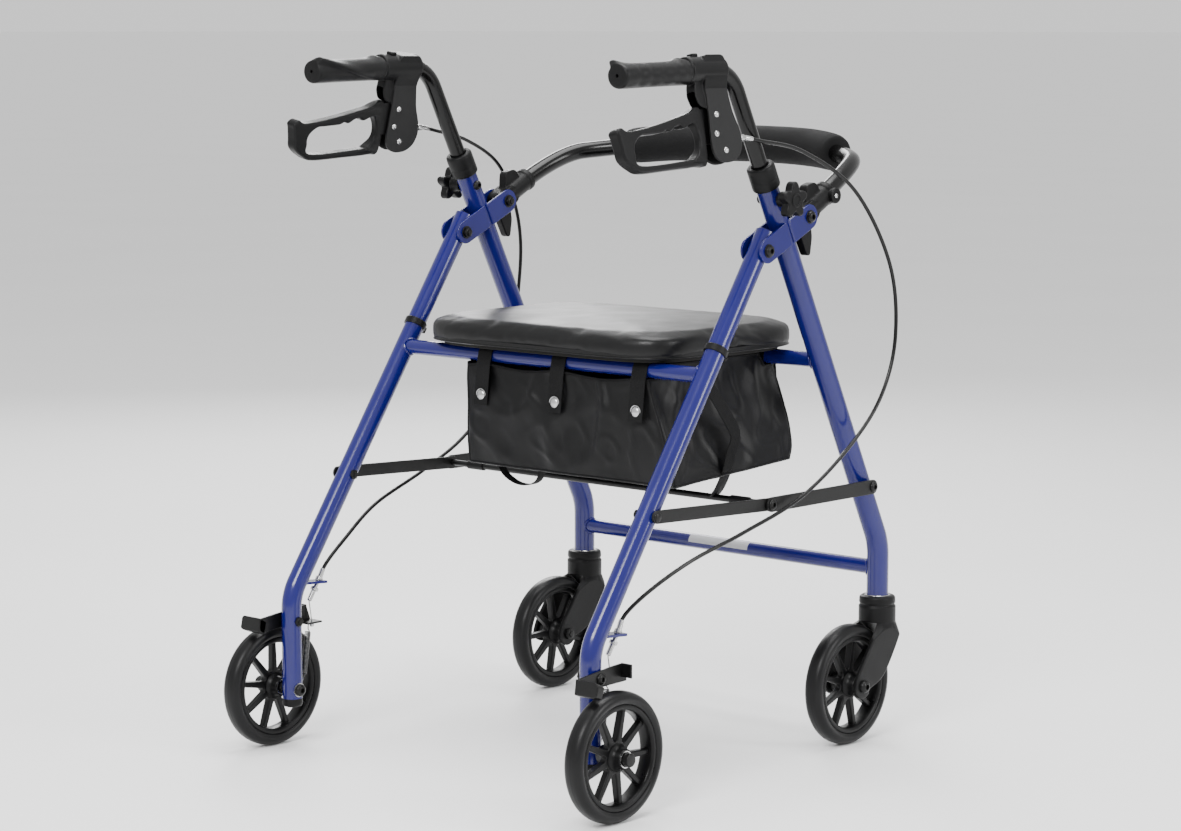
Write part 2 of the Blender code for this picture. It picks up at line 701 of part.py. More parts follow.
def make_housing(side, s):
    """Two brake plates under a clamp on the handle tube, open behind for the lever."""
    body_loop = [
        (-0.0430, -0.0080),
        (-0.0415, -0.0260),
        (-0.0375, -0.0510),
        (-0.0290, -0.0720),
        (-0.0275, -0.0860),
        (-0.0335, -0.1000),
        (-0.0470, -0.1085),
        (-0.0650, -0.1100),
        (-0.0785, -0.1050),
        (-0.0840, -0.0930),
        (-0.0810, -0.0500),
        (-0.0800, -0.0080),
    ]
    body = outline(f"{side}_brake_housing", [body_loop], -0.0095, 0.0095, PLASTIC, 0.0012)
    slot = box("cutter_slot", (-0.0058, -0.1000, -0.1200), (0.0058, -0.0455, -0.0250), PLASTIC, cutters)
    pivot = bar_x("cutter_pivot", *PARK_PIVOT, -0.012, 0.012, 0.0030 + RUN, PLASTIC, 16, cutters)
    body = cut(body, slot, pivot)
    guard_loop = [(-0.0780, -0.0130), (-0.1020, -0.0150), (-0.1070, -0.0340)]
    guard_loop += [(-0.1020, -0.0340), (-0.0950, -0.0240), (-0.0780, -0.0220)]
    guard = outline("guard", [guard_loop], -0.0070, 0.0070, PLASTIC)
    clamp = rod("clamp", [(0, -0.1040, 0), (0, -0.0400, 0)], 0.0160, PLASTIC, 16)
    barrel = rod("barrel", [(0, -0.0320, -0.0800), (0, -0.0130, -0.0800)], 0.0038, PLASTIC, 12)
    body = join(body, guard, clamp, barrel)
    body = lean(body, s)
    bore = rod("cutter_tube", handle_path(s * SIDE_X), HANDLE_RADIUS + GAP, PLASTIC, 16, collection=cutters)
    return smooth(cut(body, bore))


def make_cam(side, s):
    """The park cam between the plates: it turns on the lower rivet and carries the lever."""
    loops = [stadium(PARK_PIVOT, SQUEEZE_PIVOT, 0.0080), circle(*SQUEEZE_PIVOT, 0.0040 + RUN)]
    cam = outline(f"{side}_park_cam", loops, s * 0.0040 - 0.0014, s * 0.0040 + 0.0014, BLACK_STEEL)
    pin = bar_x("pin", *PARK_PIVOT, -0.0090, 0.0090, 0.0030, BLACK_STEEL)
    return set_origin(smooth(lean(join(cam, pin), s)), leaning_point(s, *PARK_PIVOT))


def make_lever(side, s):
    """The loop brake lever, with finger grooves under its top bar and a nub at its tip."""
    edge = [
        (-0.0900, -0.0455),
        (-0.1200, -0.0512),
        (-0.1570, -0.0590),
        (-0.1910, -0.0650),
        (-0.2230, -0.0685),
        (-0.2350, -0.0640),
        (-0.2430, -0.0690),
        (-0.2415, -0.0760),
        (-0.2390, -0.0880),
        (-0.2360, -0.1010),
        (-0.2220, -0.1110),
        (-0.2050, -0.1160),
        (-0.1550, -0.1140),
        (-0.1110, -0.1115),
        (-0.0900, -0.1060),
    ]
    opening = [
        (-0.1000, -0.0760),
        (-0.1080, -0.0625),
        (-0.1245, -0.0672),
        (-0.1330, -0.0640),
        (-0.1410, -0.0655),
        (-0.1500, -0.0700),
        (-0.1580, -0.0688),
        (-0.1660, -0.0715),
        (-0.1890, -0.0730),
        (-0.2030, -0.0745),
        (-0.2150, -0.0830),
        (-0.2170, -0.0940),
        (-0.2080, -0.1080),
        (-0.1260, -0.1040),
        (-0.1120, -0.1010),
        (-0.1010, -0.0900),
    ]
    loop = outline(f"{side}_brake_lever", [edge, opening], -0.0080, 0.0080, PLASTIC, 0.0012)
    low, high = sorted((-s * 0.0053, s * 0.0020))
    root_loop = [
        (-0.0950, -0.0460),
        (-0.0720, -0.0430),
        (-0.0600, -0.0450),
        (-0.0570, -0.0530),
        (-0.0600, -0.0780),
        (-0.0720, -0.0860),
        (-0.0950, -0.0860),
    ]
    root = outline("root", [root_loop], low, high, PLASTIC)
    boss = bar_x("boss", *SQUEEZE_PIVOT, s * 0.0010, s * 0.0054, 0.0040, PLASTIC, 16)
    lever = smooth(lean(join(loop, root, boss), s))
    return set_origin(lever, leaning_point(s, *SQUEEZE_PIVOT))


def make_knob(side, s):
    """The five-lobed height knob and its threaded stud, which turn about X through the post."""
    y = post_y(KNOB_Z)
    loop = []
    for i in range(30):
        turn = math.tau * i / 30
        radius = 0.0185 + 0.0050 * math.cos(5 * turn)
        loop.append((y + radius * math.sin(turn), KNOB_Z + radius * math.cos(turn)))
    low, high = sorted((s * 0.2765, s * 0.2895))
    star = outline(f"{side}_height_knob", [loop], low, high, PLASTIC, 0.0015)
    hub = bar_x("hub", y, KNOB_Z, s * (SIDE_X + POST_RADIUS + 0.0015), s * 0.2780, 0.0090, PLASTIC, 16)
    stud = bar_x("stud", y, KNOB_Z, s * (SIDE_X + HANDLE_RADIUS + 0.0005), s * 0.2700, 0.0030, PLASTIC, 16)
    return set_origin(smooth(join(star, hub, stud)), (s * SIDE_X, y, KNOB_Z))


# ---------------------------------------------------------------- seat, bag and backrest
def seat_loop(inset):
    """The seat's outline: rounded corners, and a rear edge that bows out."""
    half = SEAT_HALF_WIDTH - inset
    rear = SEAT_REAR_Y + inset
    front = SEAT_FRONT_Y - inset
    middle = (rear + front) / 2
    depth = (front - rear) / 2
    loop = []
    for i in range(36):
        turn = math.tau * i / 36
        c = math.cos(turn)
        w = math.sin(turn)
        x = half * math.copysign(abs(c) ** 0.42, c)
        y = middle + depth * math.copysign(abs(w) ** 0.42, w)
        loop.append((x, y))
    return loop


def flat_slab(name, loop, z0, z1, look, bevel):
    curve = bpy.data.curves.new(name, "CURVE")
    curve.dimensions = "2D"
    curve.fill_mode = "BOTH"
    curve.extrude = (z1 - z0) / 2 - bevel
    curve.bevel_depth = bevel
    curve.bevel_resolution = 1
    curve.offset = -bevel
    spline = curve.splines.new("POLY")
    spline.points.add(len(loop) - 1)
    for point, (x, y) in zip(spline.points, loop):
        point.co = (x, y, 0.0, 1.0)
    spline.use_cyclic_u = True
    obj = place(name, curve, look)
    obj.location = (0, 0, (z0 + z1) / 2)
    return smooth(bake(to_mesh(obj)))


def make_seat():
    """A board on the two seat tubes with a padded cover; it lifts about the front seat tube."""
    tube_top = SEAT_TUBE_Z + CROSS_RADIUS
    axis = (0, post_y(SEAT_TUBE_Z), SEAT_TUBE_Z)
    set_origin(flat_slab("seat_base", seat_loop(0.012), tube_top + GAP, SEAT_BASE_TOP, BOARD, 0.001), axis)
    set_origin(flat_slab("seat_pad", seat_loop(0.0), SEAT_BASE_TOP + GAP, SEAT_PAD_TOP, VINYL, 0.009), axis)


def make_bag():
    """An open-topped bag whose front and rear walls rise outside the two seat tubes."""
    rear_y = leg_y(SEAT_TUBE_Z) - CROSS_RADIUS - 0.0022
    front_y = post_y(SEAT_TUBE_Z) + CROSS_RADIUS + 0.0022
    levels = (
        (0.4960, rear_y, front_y, BAG_HALF_WIDTH),
        (0.4760, rear_y, front_y, BAG_HALF_WIDTH),
        (0.4200, rear_y - 0.002, front_y - 0.002, BAG_HALF_WIDTH + 0.002),
        (0.3650, rear_y + 0.002, front_y - 0.016, BAG_HALF_WIDTH + 0.001),
        (BAG_BOTTOM_Z, rear_y + 0.008, front_y - 0.026, BAG_HALF_WIDTH - 0.002),
    )
    work = bmesh.new()
    rows = []
    for z, rear, front, half in levels:
        ring = []
        corners = ((-1, rear), (1, rear), (1, front), (-1, front))
        for (sx, y), (nx, ny) in zip(corners, corners[1:] + corners[:1]):
            for t in (0.0, 0.5):
                ring.append(work.verts.new((BAG_X + half * (sx * (1 - t) + nx * t), y * (1 - t) + ny * t, z)))
        rows.append(ring)
    for level, (row, after) in enumerate(zip(rows, rows[1:])):
        for i in range(len(row)):
            j = (i + 1) % len(row)
            side_panel = i // 2 in (1, 3)
            if level or not side_panel:
                work.faces.new((row[i], after[i], after[j], row[j]))
    for row in rows:
        for vert in row:
            if not vert.link_faces:
                work.verts.remove(vert)
    work.faces.new(rows[-1])
    bmesh.ops.recalc_face_normals(work, faces=work.faces)
    data = bpy.data.meshes.new("bag")
    work.to_mesh(data)
    work.free()
    bag = place("bag", data, NYLON)
    wall = bag.modifiers.new("cloth", "SOLIDIFY")
    wall.thickness = 0.0015
    wall.offset = -1
    wall.use_even_offset = True


def backrest_points():
    """The backrest tube's corners from the right socket round to the left one."""
    right = [
        (SIDE_X, 0.1240, 0.6745),
        (SIDE_X, 0.2250, 0.7280),
        (0.1980, 0.2790, 0.7365),
        (0.1000, 0.3175, 0.7460),
    ]
    return right + [(-x, y, z) for x, y, z in right[::-1]]


def smooth_path(points, count):
    """Points evenly along a quadratic B-spline through the control points' middles, ends kept."""
    points = [Vector(p) for p in points]
    starts = [points[0]] + [(a + b) / 2 for a, b in zip(points[1:], points[2:-1])] + [points[-1]]
    path = []
    for i, control in enumerate(points[1:-1]):
        a = starts[i]
        b = starts[i + 1]
        for step in range(count):
            t = step / count
            path.append(a * (1 - t) ** 2 + control * 2 * t * (1 - t) + b * t * t)
    path.append(points[-1])
    return path


def make_backrest():
    """A bent tube across the front, a foam sleeve on it, and the two sockets that hold it."""
    path = smooth_path(backrest_points(), 5)
    tube = rod("backrest_tube", path, 0.0110, BLACK_TUBE, 12)
    set_origin(tube, (0, *BACK_PIVOT))
    inside = [p for p in path if abs(p.x) < 0.185]
    sleeve = rod("backrest_pad", inside, 0.0240, FOAM, 16)
    bore = rod("cutter_tube", path, 0.0110 + GAP, FOAM, 12, collection=cutters)
    set_origin(smooth(cut(sleeve, bore)), (0, *BACK_PIVOT))
    for side, s in SIDES:
        make_socket(side, s, path)


def make_socket(side, s, path):
    """The plastic end socket: a barrel round the tube, a latch tab above and its tail below."""
    x = s * SIDE_X
    pivot_y, pivot_z = BACK_PIVOT
    along = Vector((0, 0.1010, 0.0535)).normalized()
    start = Vector((x, pivot_y, pivot_z)) - along * 0.013
    half = 0.0124
    name = f"{side}_backrest_socket"
    body_loop = stadium(BACK_PIVOT, (pivot_y + 0.0130, pivot_z + 0.0069), 0.0125, 5)
    body = outline(name, [body_loop], x - half, x + half, PLASTIC)
    barrel = rod("barrel", [start + along * 0.0300, start + along * 0.0720], 0.0138, PLASTIC, 16)
    low, high = sorted((x - s * 0.0060, x + s * 0.0060))
    tab_loop = [(0.1190, 0.6760), (0.1440, 0.6860), (0.1465, 0.7040), (0.1380, 0.7110), (0.1210, 0.7070)]
    tab = outline("tab", [tab_loop], low, high, PLASTIC)
    tail_loop = [(0.1050, 0.6640), (0.1300, 0.6650), (0.1335, 0.6440)]
    tail_loop += [(0.1300, 0.6220), (0.1240, 0.6220), (0.1130, 0.6420)]
    tail = outline("tail", [tail_loop], low + 0.0003, high - 0.0003, PLASTIC)
    knob = bar_x("knob", 0.1640, 0.6935, x + s * 0.0100, x + s * 0.0190, 0.0095, PLASTIC, 12)
    socket = join(body, barrel, tab, tail, knob)
    hole = bar_x("cutter_pivot", *BACK_PIVOT, x - 0.02, x + 0.02, AXLE_RADIUS + RUN, PLASTIC, 16, cutters)
    bore = rod("cutter_tube", path, 0.0110 + GAP, PLASTIC, 12, collection=cutters)
    return set_origin(smooth(cut(socket, hole, bore)), (x, pivot_y, pivot_z))


# ---------------------------------------------------------------- brake cables
CABLE_ROUTES = {
    "right": (
        (0.2690, 0.0150, 0.7640),
        (0.2750, 0.0900, 0.7490),
        (0.2830, 0.1820, 0.6990),
        (0.2860, 0.2500, 0.6080),
        (0.2860, 0.2650, 0.5190),
        (0.2850, 0.2400, 0.4460),
        (0.2830, 0.1800, 0.3880),
        (0.2810, 0.0850, 0.3340),
        (0.2790, -0.0250, 0.3030),
        (0.2710, -0.1100, 0.2800),
        (0.2590, -0.1700, 0.2520),
    ),
    "left": (
        (-0.2690, 0.0150, 0.7640),
        (-0.2750, 0.0780, 0.7500),
        (-0.2820, 0.1430, 0.7190),
        (-0.2850, 0.1780, 0.6700),
        (-0.2860, 0.1930, 0.6180),
        (-0.2860, 0.1910, 0.5600),
        (-0.2860, 0.1750, 0.4800),
        (-0.2840, 0.1350, 0.4050),
        (-0.2820, 0.0750, 0.3550),
        (-0.2790, -0.0030, 0.3200),
        (-0.2710, -0.0970, 0.2880),
        (-0.2590, -0.1650, 0.2510),
    ),
}


def through_points(points, spacing):
    """A smooth curve through the points, read off at about the given spacing."""
    points = [Vector(p) for p in points]
    ends = [points[0] * 2 - points[1]] + points + [points[-1] * 2 - points[-2]]
    path = []
    for p0, p1, p2, p3 in zip(ends, ends[1:], ends[2:], ends[3:]):
        steps = max(2, round((p2 - p1).length / spacing))
        for step in range(steps):
            t = step / steps
            curve = (2 * p0 - 5 * p1 + 4 * p2 - p3) * t ** 2 + (3 * p1 - p0 - 3 * p2 + p3) * t ** 3
            path.append(0.5 * (2 * p1 + (p2 - p0) * t + curve))
    path.append(points[-1])
    return path


def make_cable(side, s):
    """A brake cable's sheath, from the housing's barrel round the frame to the guide on the leg."""
    start = leaning_point(s, -0.0115, -0.0800)
    guide_low, guide_high = guide_line(s * SIDE_X, 0.0050)
    finish = guide_high + (guide_high - guide_low).normalized() * 0.0200
    points = [start, *CABLE_ROUTES[side], finish, guide_high]
    return rod(f"{side}_brake_cable", through_points(points, 0.045), 0.0022, CABLE, 8)


make_front_frame()
make_rear_frame()
make_wheels()
make_links()
make_seat()
make_bag()
make_backrest()
for side_name, side_sign in SIDES:
    make_fork(side_name, side_sign)
    make_caster_axle(side_name, side_sign)
    make_brake_arm(side_name, side_sign)
    smooth(rod(f"{side_name}_handle_tube", handle_path(side_sign * SIDE_X), HANDLE_RADIUS, BLACK_TUBE, 16))
    make_grip(side_name, side_sign)
    make_housing(side_name, side_sign)
    make_cam(side_name, side_sign)
    make_lever(side_name, side_sign)
    make_knob(side_name, side_sign)
    make_cable(side_name, side_sign)
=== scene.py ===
"""A rollator walker: blue frame, black handles with loop brakes, padded seat, bag, backrest, four wheels."""

import math

import bmesh
import bpy
from mathutils import Matrix, Vector, noise


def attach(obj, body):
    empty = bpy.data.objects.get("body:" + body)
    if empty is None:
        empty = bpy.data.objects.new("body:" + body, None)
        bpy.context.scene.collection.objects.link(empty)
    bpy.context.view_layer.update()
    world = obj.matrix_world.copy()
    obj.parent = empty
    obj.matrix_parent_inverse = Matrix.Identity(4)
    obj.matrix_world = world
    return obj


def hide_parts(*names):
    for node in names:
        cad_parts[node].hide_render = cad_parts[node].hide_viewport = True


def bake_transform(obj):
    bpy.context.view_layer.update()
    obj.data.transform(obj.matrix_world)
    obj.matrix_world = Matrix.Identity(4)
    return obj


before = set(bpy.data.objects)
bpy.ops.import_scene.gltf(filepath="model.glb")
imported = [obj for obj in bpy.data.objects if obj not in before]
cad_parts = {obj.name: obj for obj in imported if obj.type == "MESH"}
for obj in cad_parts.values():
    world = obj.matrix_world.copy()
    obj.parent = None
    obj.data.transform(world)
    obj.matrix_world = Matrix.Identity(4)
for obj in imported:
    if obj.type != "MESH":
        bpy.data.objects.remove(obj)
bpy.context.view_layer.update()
scene = bpy.context.scene

# Sizes in metres, +X right, +Y forward, +Z up.
GAP = 0.0003                   # air between two pieces that touch
WHEEL_RADIUS = 0.0762          # 6 inch wheels, all four alike
RIM_RADIUS = 0.0622
SPOKES = 9
HUB_HALF = 0.018
AXLE_RADIUS = 0.004
SIDE_X = 0.25                  # posts and legs stand in the planes x = +-SIDE_X
REAR_WHEEL_X = 0.286
REAR_AXLE_Y = -0.2645
HINGE_Y = 0.0355               # fold axis
HINGE_Z = 0.633
LEG_RADIUS = 0.0125
LEG_BEND_Z = 0.1955
LEG_FOOT_Z = 0.058
POST_RADIUS = 0.01375
POST_LOW_Y = 0.2825
POST_BEND_Z = 0.2488
POST_FOOT_Z = 0.1822
POST_TOP_Z = 0.722
POST_TILT = math.radians(26.8)
TUBE_WALL = 0.0016
SEAT_TUBE_Z = 0.491
CROSS_RADIUS = 0.0095
LOWER_TUBE_Z = 0.2165
PLATE = 0.003                  # bracket and link plate thickness
BRACKET_IN = 0.0129            # inner face of a bracket plate from the side plane
BACK_PIVOT = (0.1155, 0.67)
BRACKET_Z = 0.653              # where the bracket plates cross the post
LEG_CLAMP_Z = 0.5186
SNAP_Z = 0.442                 # the bag straps' snaps
FORK_NECK = 0.0236             # half width of a caster fork's neck
HANDLE_RADIUS = 0.01
HANDLE_FOOT_Z = 0.55
HANDLE_END = (-0.214, 0.843)
HANDLE_CORNER = (-0.021, 0.8485)
GRIP_FRONT_Y = -0.1045
SPLAY = math.radians(11.5)     # brake housings lean outward at the bottom
SQUEEZE_PIVOT = (-0.068, -0.053)  # y, and height from the handle axis, in the leaning plane
PARK_PIVOT = (-0.06, -0.095)
KNOB_Z = 0.693
COLLAR_HEIGHT = 0.03
LINK_REAR = (-0.1675, 0.3375)
LINK_MID = (0.04, 0.328)
LINK_FRONT = (0.2432, 0.3265)
BRAKE_PIVOT_Z = 0.163
CASTER_TRAIL = 0.062
FORK_TOP_Z = POST_FOOT_Z - GAP
FORK_INNER = 0.02
FORK_OUTER = 0.026
SEAT_HALF_WIDTH = 0.205
SEAT_REAR_Y = -0.098
SEAT_FRONT_Y = 0.201
SEAT_BASE_TOP = 0.5085
SEAT_PAD_TOP = 0.539
SIDES = (("left", -1), ("right", 1))

shown = bpy.data.collections.new("rollator_looks")
scene.collection.children.link(shown)


# ---------------------------------------------------------------- finishes
def material(name):
    """A new material, with its node tree and its shader."""
    made = bpy.data.materials.new(name)
    made.use_nodes = True
    return made, made.node_tree, made.node_tree.nodes["Principled BSDF"]


def fill(node, **values):
    """Sets a node's inputs: an underscore in a name stands for a space."""
    for name, value in values.items():
        node.inputs[name.replace("_", " ")].default_value = value
    return node


def add(tree, kind, source=None, socket="", **values):
    """A new shader node with the given inputs, linked to the source's output where one is given."""
    node = fill(tree.nodes.new(f"ShaderNode{kind}"), **values)
    if source:
        tree.links.new(source, node.inputs[socket])
    return node


def mixed(tree, factor, low, high, shader):
    """Mixes two colours by the factor into the shader's base colour."""
    mix = tree.nodes.new("ShaderNodeMix")
    mix.data_type = "RGBA"
    fill(mix, A=(*low, 1.0), B=(*high, 1.0))
    tree.links.new(factor, mix.inputs["Factor"])
    tree.links.new(mix.outputs["Result"], shader.inputs["Base Color"])


def look(name, colour, roughness, metallic=0.0, coat=0.0, grain=900.0, bump=0.1, tint=0.12, wear=0.08,
         kind="NOISE", gloss=0.22):
    """A procedural finish: broad tint and gloss changes, and a fine surface grain."""
    made, tree, shader = material(name)
    fill(shader, Metallic=metallic, Coat_Weight=coat, Coat_Roughness=0.12, Specular_IOR_Level=gloss)
    where = add(tree, "TexCoord").outputs["Object"]
    broad = add(tree, "TexNoise", where, "Vector", Scale=22.0, Detail=6.0).outputs["Fac"]
    mixed(tree, broad, [c * (1 - tint) for c in colour], [c * (1 + tint) for c in colour], shader)
    spread = add(tree, "MapRange", broad, "Value", From_Min=0.3, From_Max=0.7,
                 To_Min=max(roughness - wear, 0.04), To_Max=min(roughness + wear, 1.0))
    tree.links.new(spread.outputs["Result"], shader.inputs["Roughness"])
    if kind == "CELLS":
        height = add(tree, "TexVoronoi", where, "Vector", Scale=grain).outputs["Distance"]
    elif kind == "WEAVE":
        weave = add(tree, "TexWave", where, "Vector", Scale=grain, Distortion=1.5)
        weave.bands_direction = "DIAGONAL"
        height = weave.outputs["Fac"]
    else:
        height = add(tree, "TexNoise", where, "Vector", Scale=grain, Detail=3.0).outputs["Fac"]
    relief = add(tree, "Bump", height, "Height", Strength=bump, Distance=0.0006)
    tree.links.new(relief.outputs["Normal"], shader.inputs["Normal"])
    return made


BLUE = look("blue_paint", (0.0055, 0.0055, 0.1), 0.2, coat=0.25, grain=260.0, bump=0.04, tint=0.08, wear=0.04,
            gloss=0.32)
GLOSS = look("black_gloss_paint", (0.0018, 0.0018, 0.0018), 0.2, grain=240.0, bump=0.05, wear=0.05,
             gloss=0.26)
STEEL = look("black_steel", (0.0035, 0.0035, 0.0035), 0.36, grain=700.0, bump=0.12, gloss=0.24)
PLASTIC = look("moulded_black_plastic", (0.003, 0.003, 0.0032), 0.42, grain=1300.0, bump=0.3, gloss=0.16)
WHEEL = look("wheel_black_plastic", (0.0028, 0.0028, 0.003), 0.34, grain=900.0, bump=0.15, gloss=0.18)
PLATE_GREY = look("brake_plate_grey", (0.0062, 0.0062, 0.0065), 0.46, grain=1500.0, bump=0.35, gloss=0.22)
TYRE = look("tyre_rubber", (0.004, 0.004, 0.0043), 0.36, grain=800.0, bump=0.18, wear=0.08, gloss=0.2)
GRIP = look("grip_rubber", (0.0032, 0.0032, 0.0034), 0.42, grain=1600.0, bump=0.3, gloss=0.18)
FOAM = look("backrest_foam", (0.006, 0.006, 0.0062), 0.8, grain=620.0, bump=0.6, tint=0.18, wear=0.05,
            kind="CELLS", gloss=0.16)
VINYL = look("seat_vinyl", (0.0022, 0.0022, 0.0024), 0.4, grain=520.0, bump=0.12, wear=0.04, kind="CELLS",
             gloss=0.26)
BOARD = look("seat_board", (0.008, 0.0075, 0.007), 0.7, grain=400.0, bump=0.4)
NYLON = look("bag_nylon", (0.0024, 0.0024, 0.0027), 0.38, grain=420.0, bump=0.12, kind="WEAVE", gloss=0.2)
WEBBING = look("strap_webbing", (0.003, 0.003, 0.0032), 0.6, grain=240.0, bump=0.6, kind="WEAVE", gloss=0.14)
ZINC = look("zinc_steel", (0.5, 0.5, 0.5), 0.26, metallic=1.0, grain=500.0, bump=0.1, tint=0.1, gloss=0.5)
SPRING = look("spring_steel", (0.11, 0.11, 0.11), 0.32, metallic=1.0, grain=500.0, bump=0.1, tint=0.1)
SHEATH = look("cable_sheath", (0.0022, 0.0022, 0.0022), 0.28, grain=700.0, bump=0.08, gloss=0.28)
LABEL = look("blank_label", (0.42, 0.42, 0.44), 0.4, grain=600.0, bump=0.03, tint=0.03, gloss=0.5)


# ---------------------------------------------------------------- shapes
def place(name, data, look):
    obj = bpy.data.objects.new(name, data)
    shown.objects.link(obj)
    obj.data.materials.clear()
    obj.data.materials.append(look)
    return obj


def mesh_of(name, work):
    """The bmesh as a new mesh."""
    data = bpy.data.meshes.new(name)
    work.to_mesh(data)
    work.free()
    return data


def skin_of(name, rings, around, low=False, high=False):
    """A mesh over rings of points, closed round them or not, with the first and last ring capped or not."""
    work = bmesh.new()
    rows = [[work.verts.new(p) for p in ring] for ring in rings]
    count = len(rows[0])
    for row, after in zip(rows, rows[1:]):
        for i in range(count if around else count - 1):
            j = (i + 1) % count
            work.faces.new((row[i], row[j], after[j], after[i]))
    if low:
        work.faces.new(rows[0][::-1])
    if high:
        work.faces.new(rows[-1])
    bmesh.ops.recalc_face_normals(work, faces=work.faces)
    return mesh_of(name, work)


def to_mesh(obj):
    """The object as a welded mesh object with its modifiers applied, in the same place."""
    bpy.context.view_layer.update()
    graph = bpy.context.evaluated_depsgraph_get()
    data = bpy.data.meshes.new_from_object(obj.evaluated_get(graph))
    work = bmesh.new()
    work.from_mesh(data)
    bmesh.ops.remove_doubles(work, verts=work.verts, dist=0.000002)
    bmesh.ops.recalc_face_normals(work, faces=work.faces)
    work.to_mesh(data)
    work.free()
    name = obj.name
    look = obj.data.materials[0]
    matrix = obj.matrix_world.copy()
    home = obj.users_collection[0]
    bpy.data.objects.remove(obj, do_unlink=True)
    made = bpy.data.objects.new(name, data)
    home.objects.link(made)
    made.matrix_world = matrix
    data.materials.clear()
    data.materials.append(look)
    return made


def smooth(obj, angle=35):
    obj.data.shade_smooth()
    obj.data.set_sharp_from_angle(angle=math.radians(angle))
    return obj


def cut(obj, other):
    """Cuts the other mesh object out of this one."""
    modifier = obj.modifiers.new("cut", "BOOLEAN")
    modifier.operation = "DIFFERENCE"
    modifier.object = other
    made = to_mesh(obj)
    bpy.data.objects.remove(other, do_unlink=True)
    return made


def rounded(points, radius, steps=6):
    """The points of a polyline whose inner corners are turned into arcs of the given radius."""
    points = [Vector(p) for p in points]
    path = [points[0]]
    for before, corner, after in zip(points, points[1:], points[2:]):
        back = (before - corner).normalized()
        ahead = (after - corner).normalized()
        half = back.angle(ahead) / 2
        reach = radius / math.tan(half)
        middle = corner + (back + ahead).normalized() * (radius / math.sin(half))
        start = corner + back * reach - middle
        end = corner + ahead * reach - middle
        turn = start.angle(end)
        for step in range(steps + 1):
            t = step / steps
            mix = (math.sin((1 - t) * turn) * start + math.sin(t * turn) * end) / math.sin(turn)
            path.append(middle + mix)
    path.append(points[-1])
    return path


def rod(name, points, radius, look, sides=32, caps=True, closed=False):
    """A round bar along the points."""
    curve = bpy.data.curves.new(name, "CURVE")
    curve.dimensions = "3D"
    curve.bevel_depth = radius
    curve.bevel_resolution = sides // 2 - 2
    curve.use_fill_caps = caps and not closed
    spline = curve.splines.new("POLY")
    spline.points.add(len(points) - 1)
    for point, co in zip(spline.points, points):
        point.co = (*co, 1.0)
    spline.use_cyclic_u = closed
    return smooth(to_mesh(place(name, curve, look)))


def pipe(name, points, radius, look, wall=TUBE_WALL, sides=40):
    """A hollow tube, open at both ends."""
    obj = rod(name, points, radius, look, sides, caps=False)
    shell = obj.modifiers.new("wall", "SOLIDIFY")
    shell.thickness = wall
    shell.offset = -1
    return smooth(to_mesh(obj))


def bar_x(name, y, z, x0, x1, radius, look, sides=32):
    return rod(name, [(x0, y, z), (x1, y, z)], radius, look, sides)


def flat_shape(name, loops, depth, look, bevel, detail):
    """A bevelled plate in its own plane: the first loop is its edge, the rest are holes."""
    curve = bpy.data.curves.new(name, "CURVE")
    curve.dimensions = "2D"
    curve.fill_mode = "BOTH"
    curve.extrude = depth / 2 - bevel
    curve.bevel_depth = bevel
    curve.bevel_resolution = detail
    curve.offset = -bevel
    for loop in loops:
        spline = curve.splines.new("POLY")
        spline.points.add(len(loop) - 1)
        for point, (across, along) in zip(spline.points, loop):
            point.co = (across, along, 0.0, 1.0)
        spline.use_cyclic_u = True
    return place(name, curve, look)


def outline(name, loops, x0, x1, look, bevel=0.0006, detail=2):
    """A plate in the YZ plane between x0 and x1, in either order; loops after the first are holes."""
    obj = flat_shape(name, loops, abs(x1 - x0), look, bevel, detail)
    turn = Matrix(((0, 0, 1), (1, 0, 0), (0, 1, 0)))
    obj.matrix_world = Matrix.Translation(((x0 + x1) / 2, 0, 0)) @ turn.to_4x4()
    return smooth(bake(to_mesh(obj)))


def flow(loop, count=6):
    """A smooth closed line through the loop's points."""
    points = [Vector(p) for p in loop]
    size = len(points)
    line = []
    for i in range(size):
        p0, p1, p2, p3 = (points[(i + k - 1) % size] for k in range(4))
        for step in range(count):
            t = step / count
            line.append(
                0.5 * (2 * p1 + (p2 - p0) * t + (2 * p0 - 5 * p1 + 4 * p2 - p3) * t * t
                       + (3 * p1 - p0 - 3 * p2 + p3) * t ** 3)
            )
    return line


def soften(loop, radius, steps=6):
    """The closed loop with its corners rounded."""
    points = [Vector(p) for p in loop]
    line = []
    for i, corner in enumerate(points):
        back = points[i - 1] - corner
        ahead = points[(i + 1) % len(points)] - corner
        start = corner + back.normalized() * min(radius, back.length * 0.45)
        end = corner + ahead.normalized() * min(radius, ahead.length * 0.45)
        for step in range(steps + 1):
            t = step / steps
            line.append(start * (1 - t) ** 2 + corner * 2 * t * (1 - t) + end * t * t)
    return line


def bake(obj):
    """Puts the object's matrix into its mesh."""
    obj.data.transform(obj.matrix_world)
    obj.matrix_world = Matrix.Identity(4)
    return obj


def box(name, low, high, look, bevel=0.0):
    work = bmesh.new()
    bmesh.ops.create_cube(work, size=1.0)
    data = mesh_of(name, work)
    size = [b - a for a, b in zip(low, high)]
    middle = [(a + b) / 2 for a, b in zip(low, high)]
    data.transform(Matrix.Translation(middle) @ Matrix.Diagonal((*size, 1.0)))
    obj = place(name, data, look)
    if bevel:
        edge = obj.modifiers.new("edge", "BEVEL")
        edge.width = bevel
        edge.segments = 3
    return smooth(to_mesh(obj))


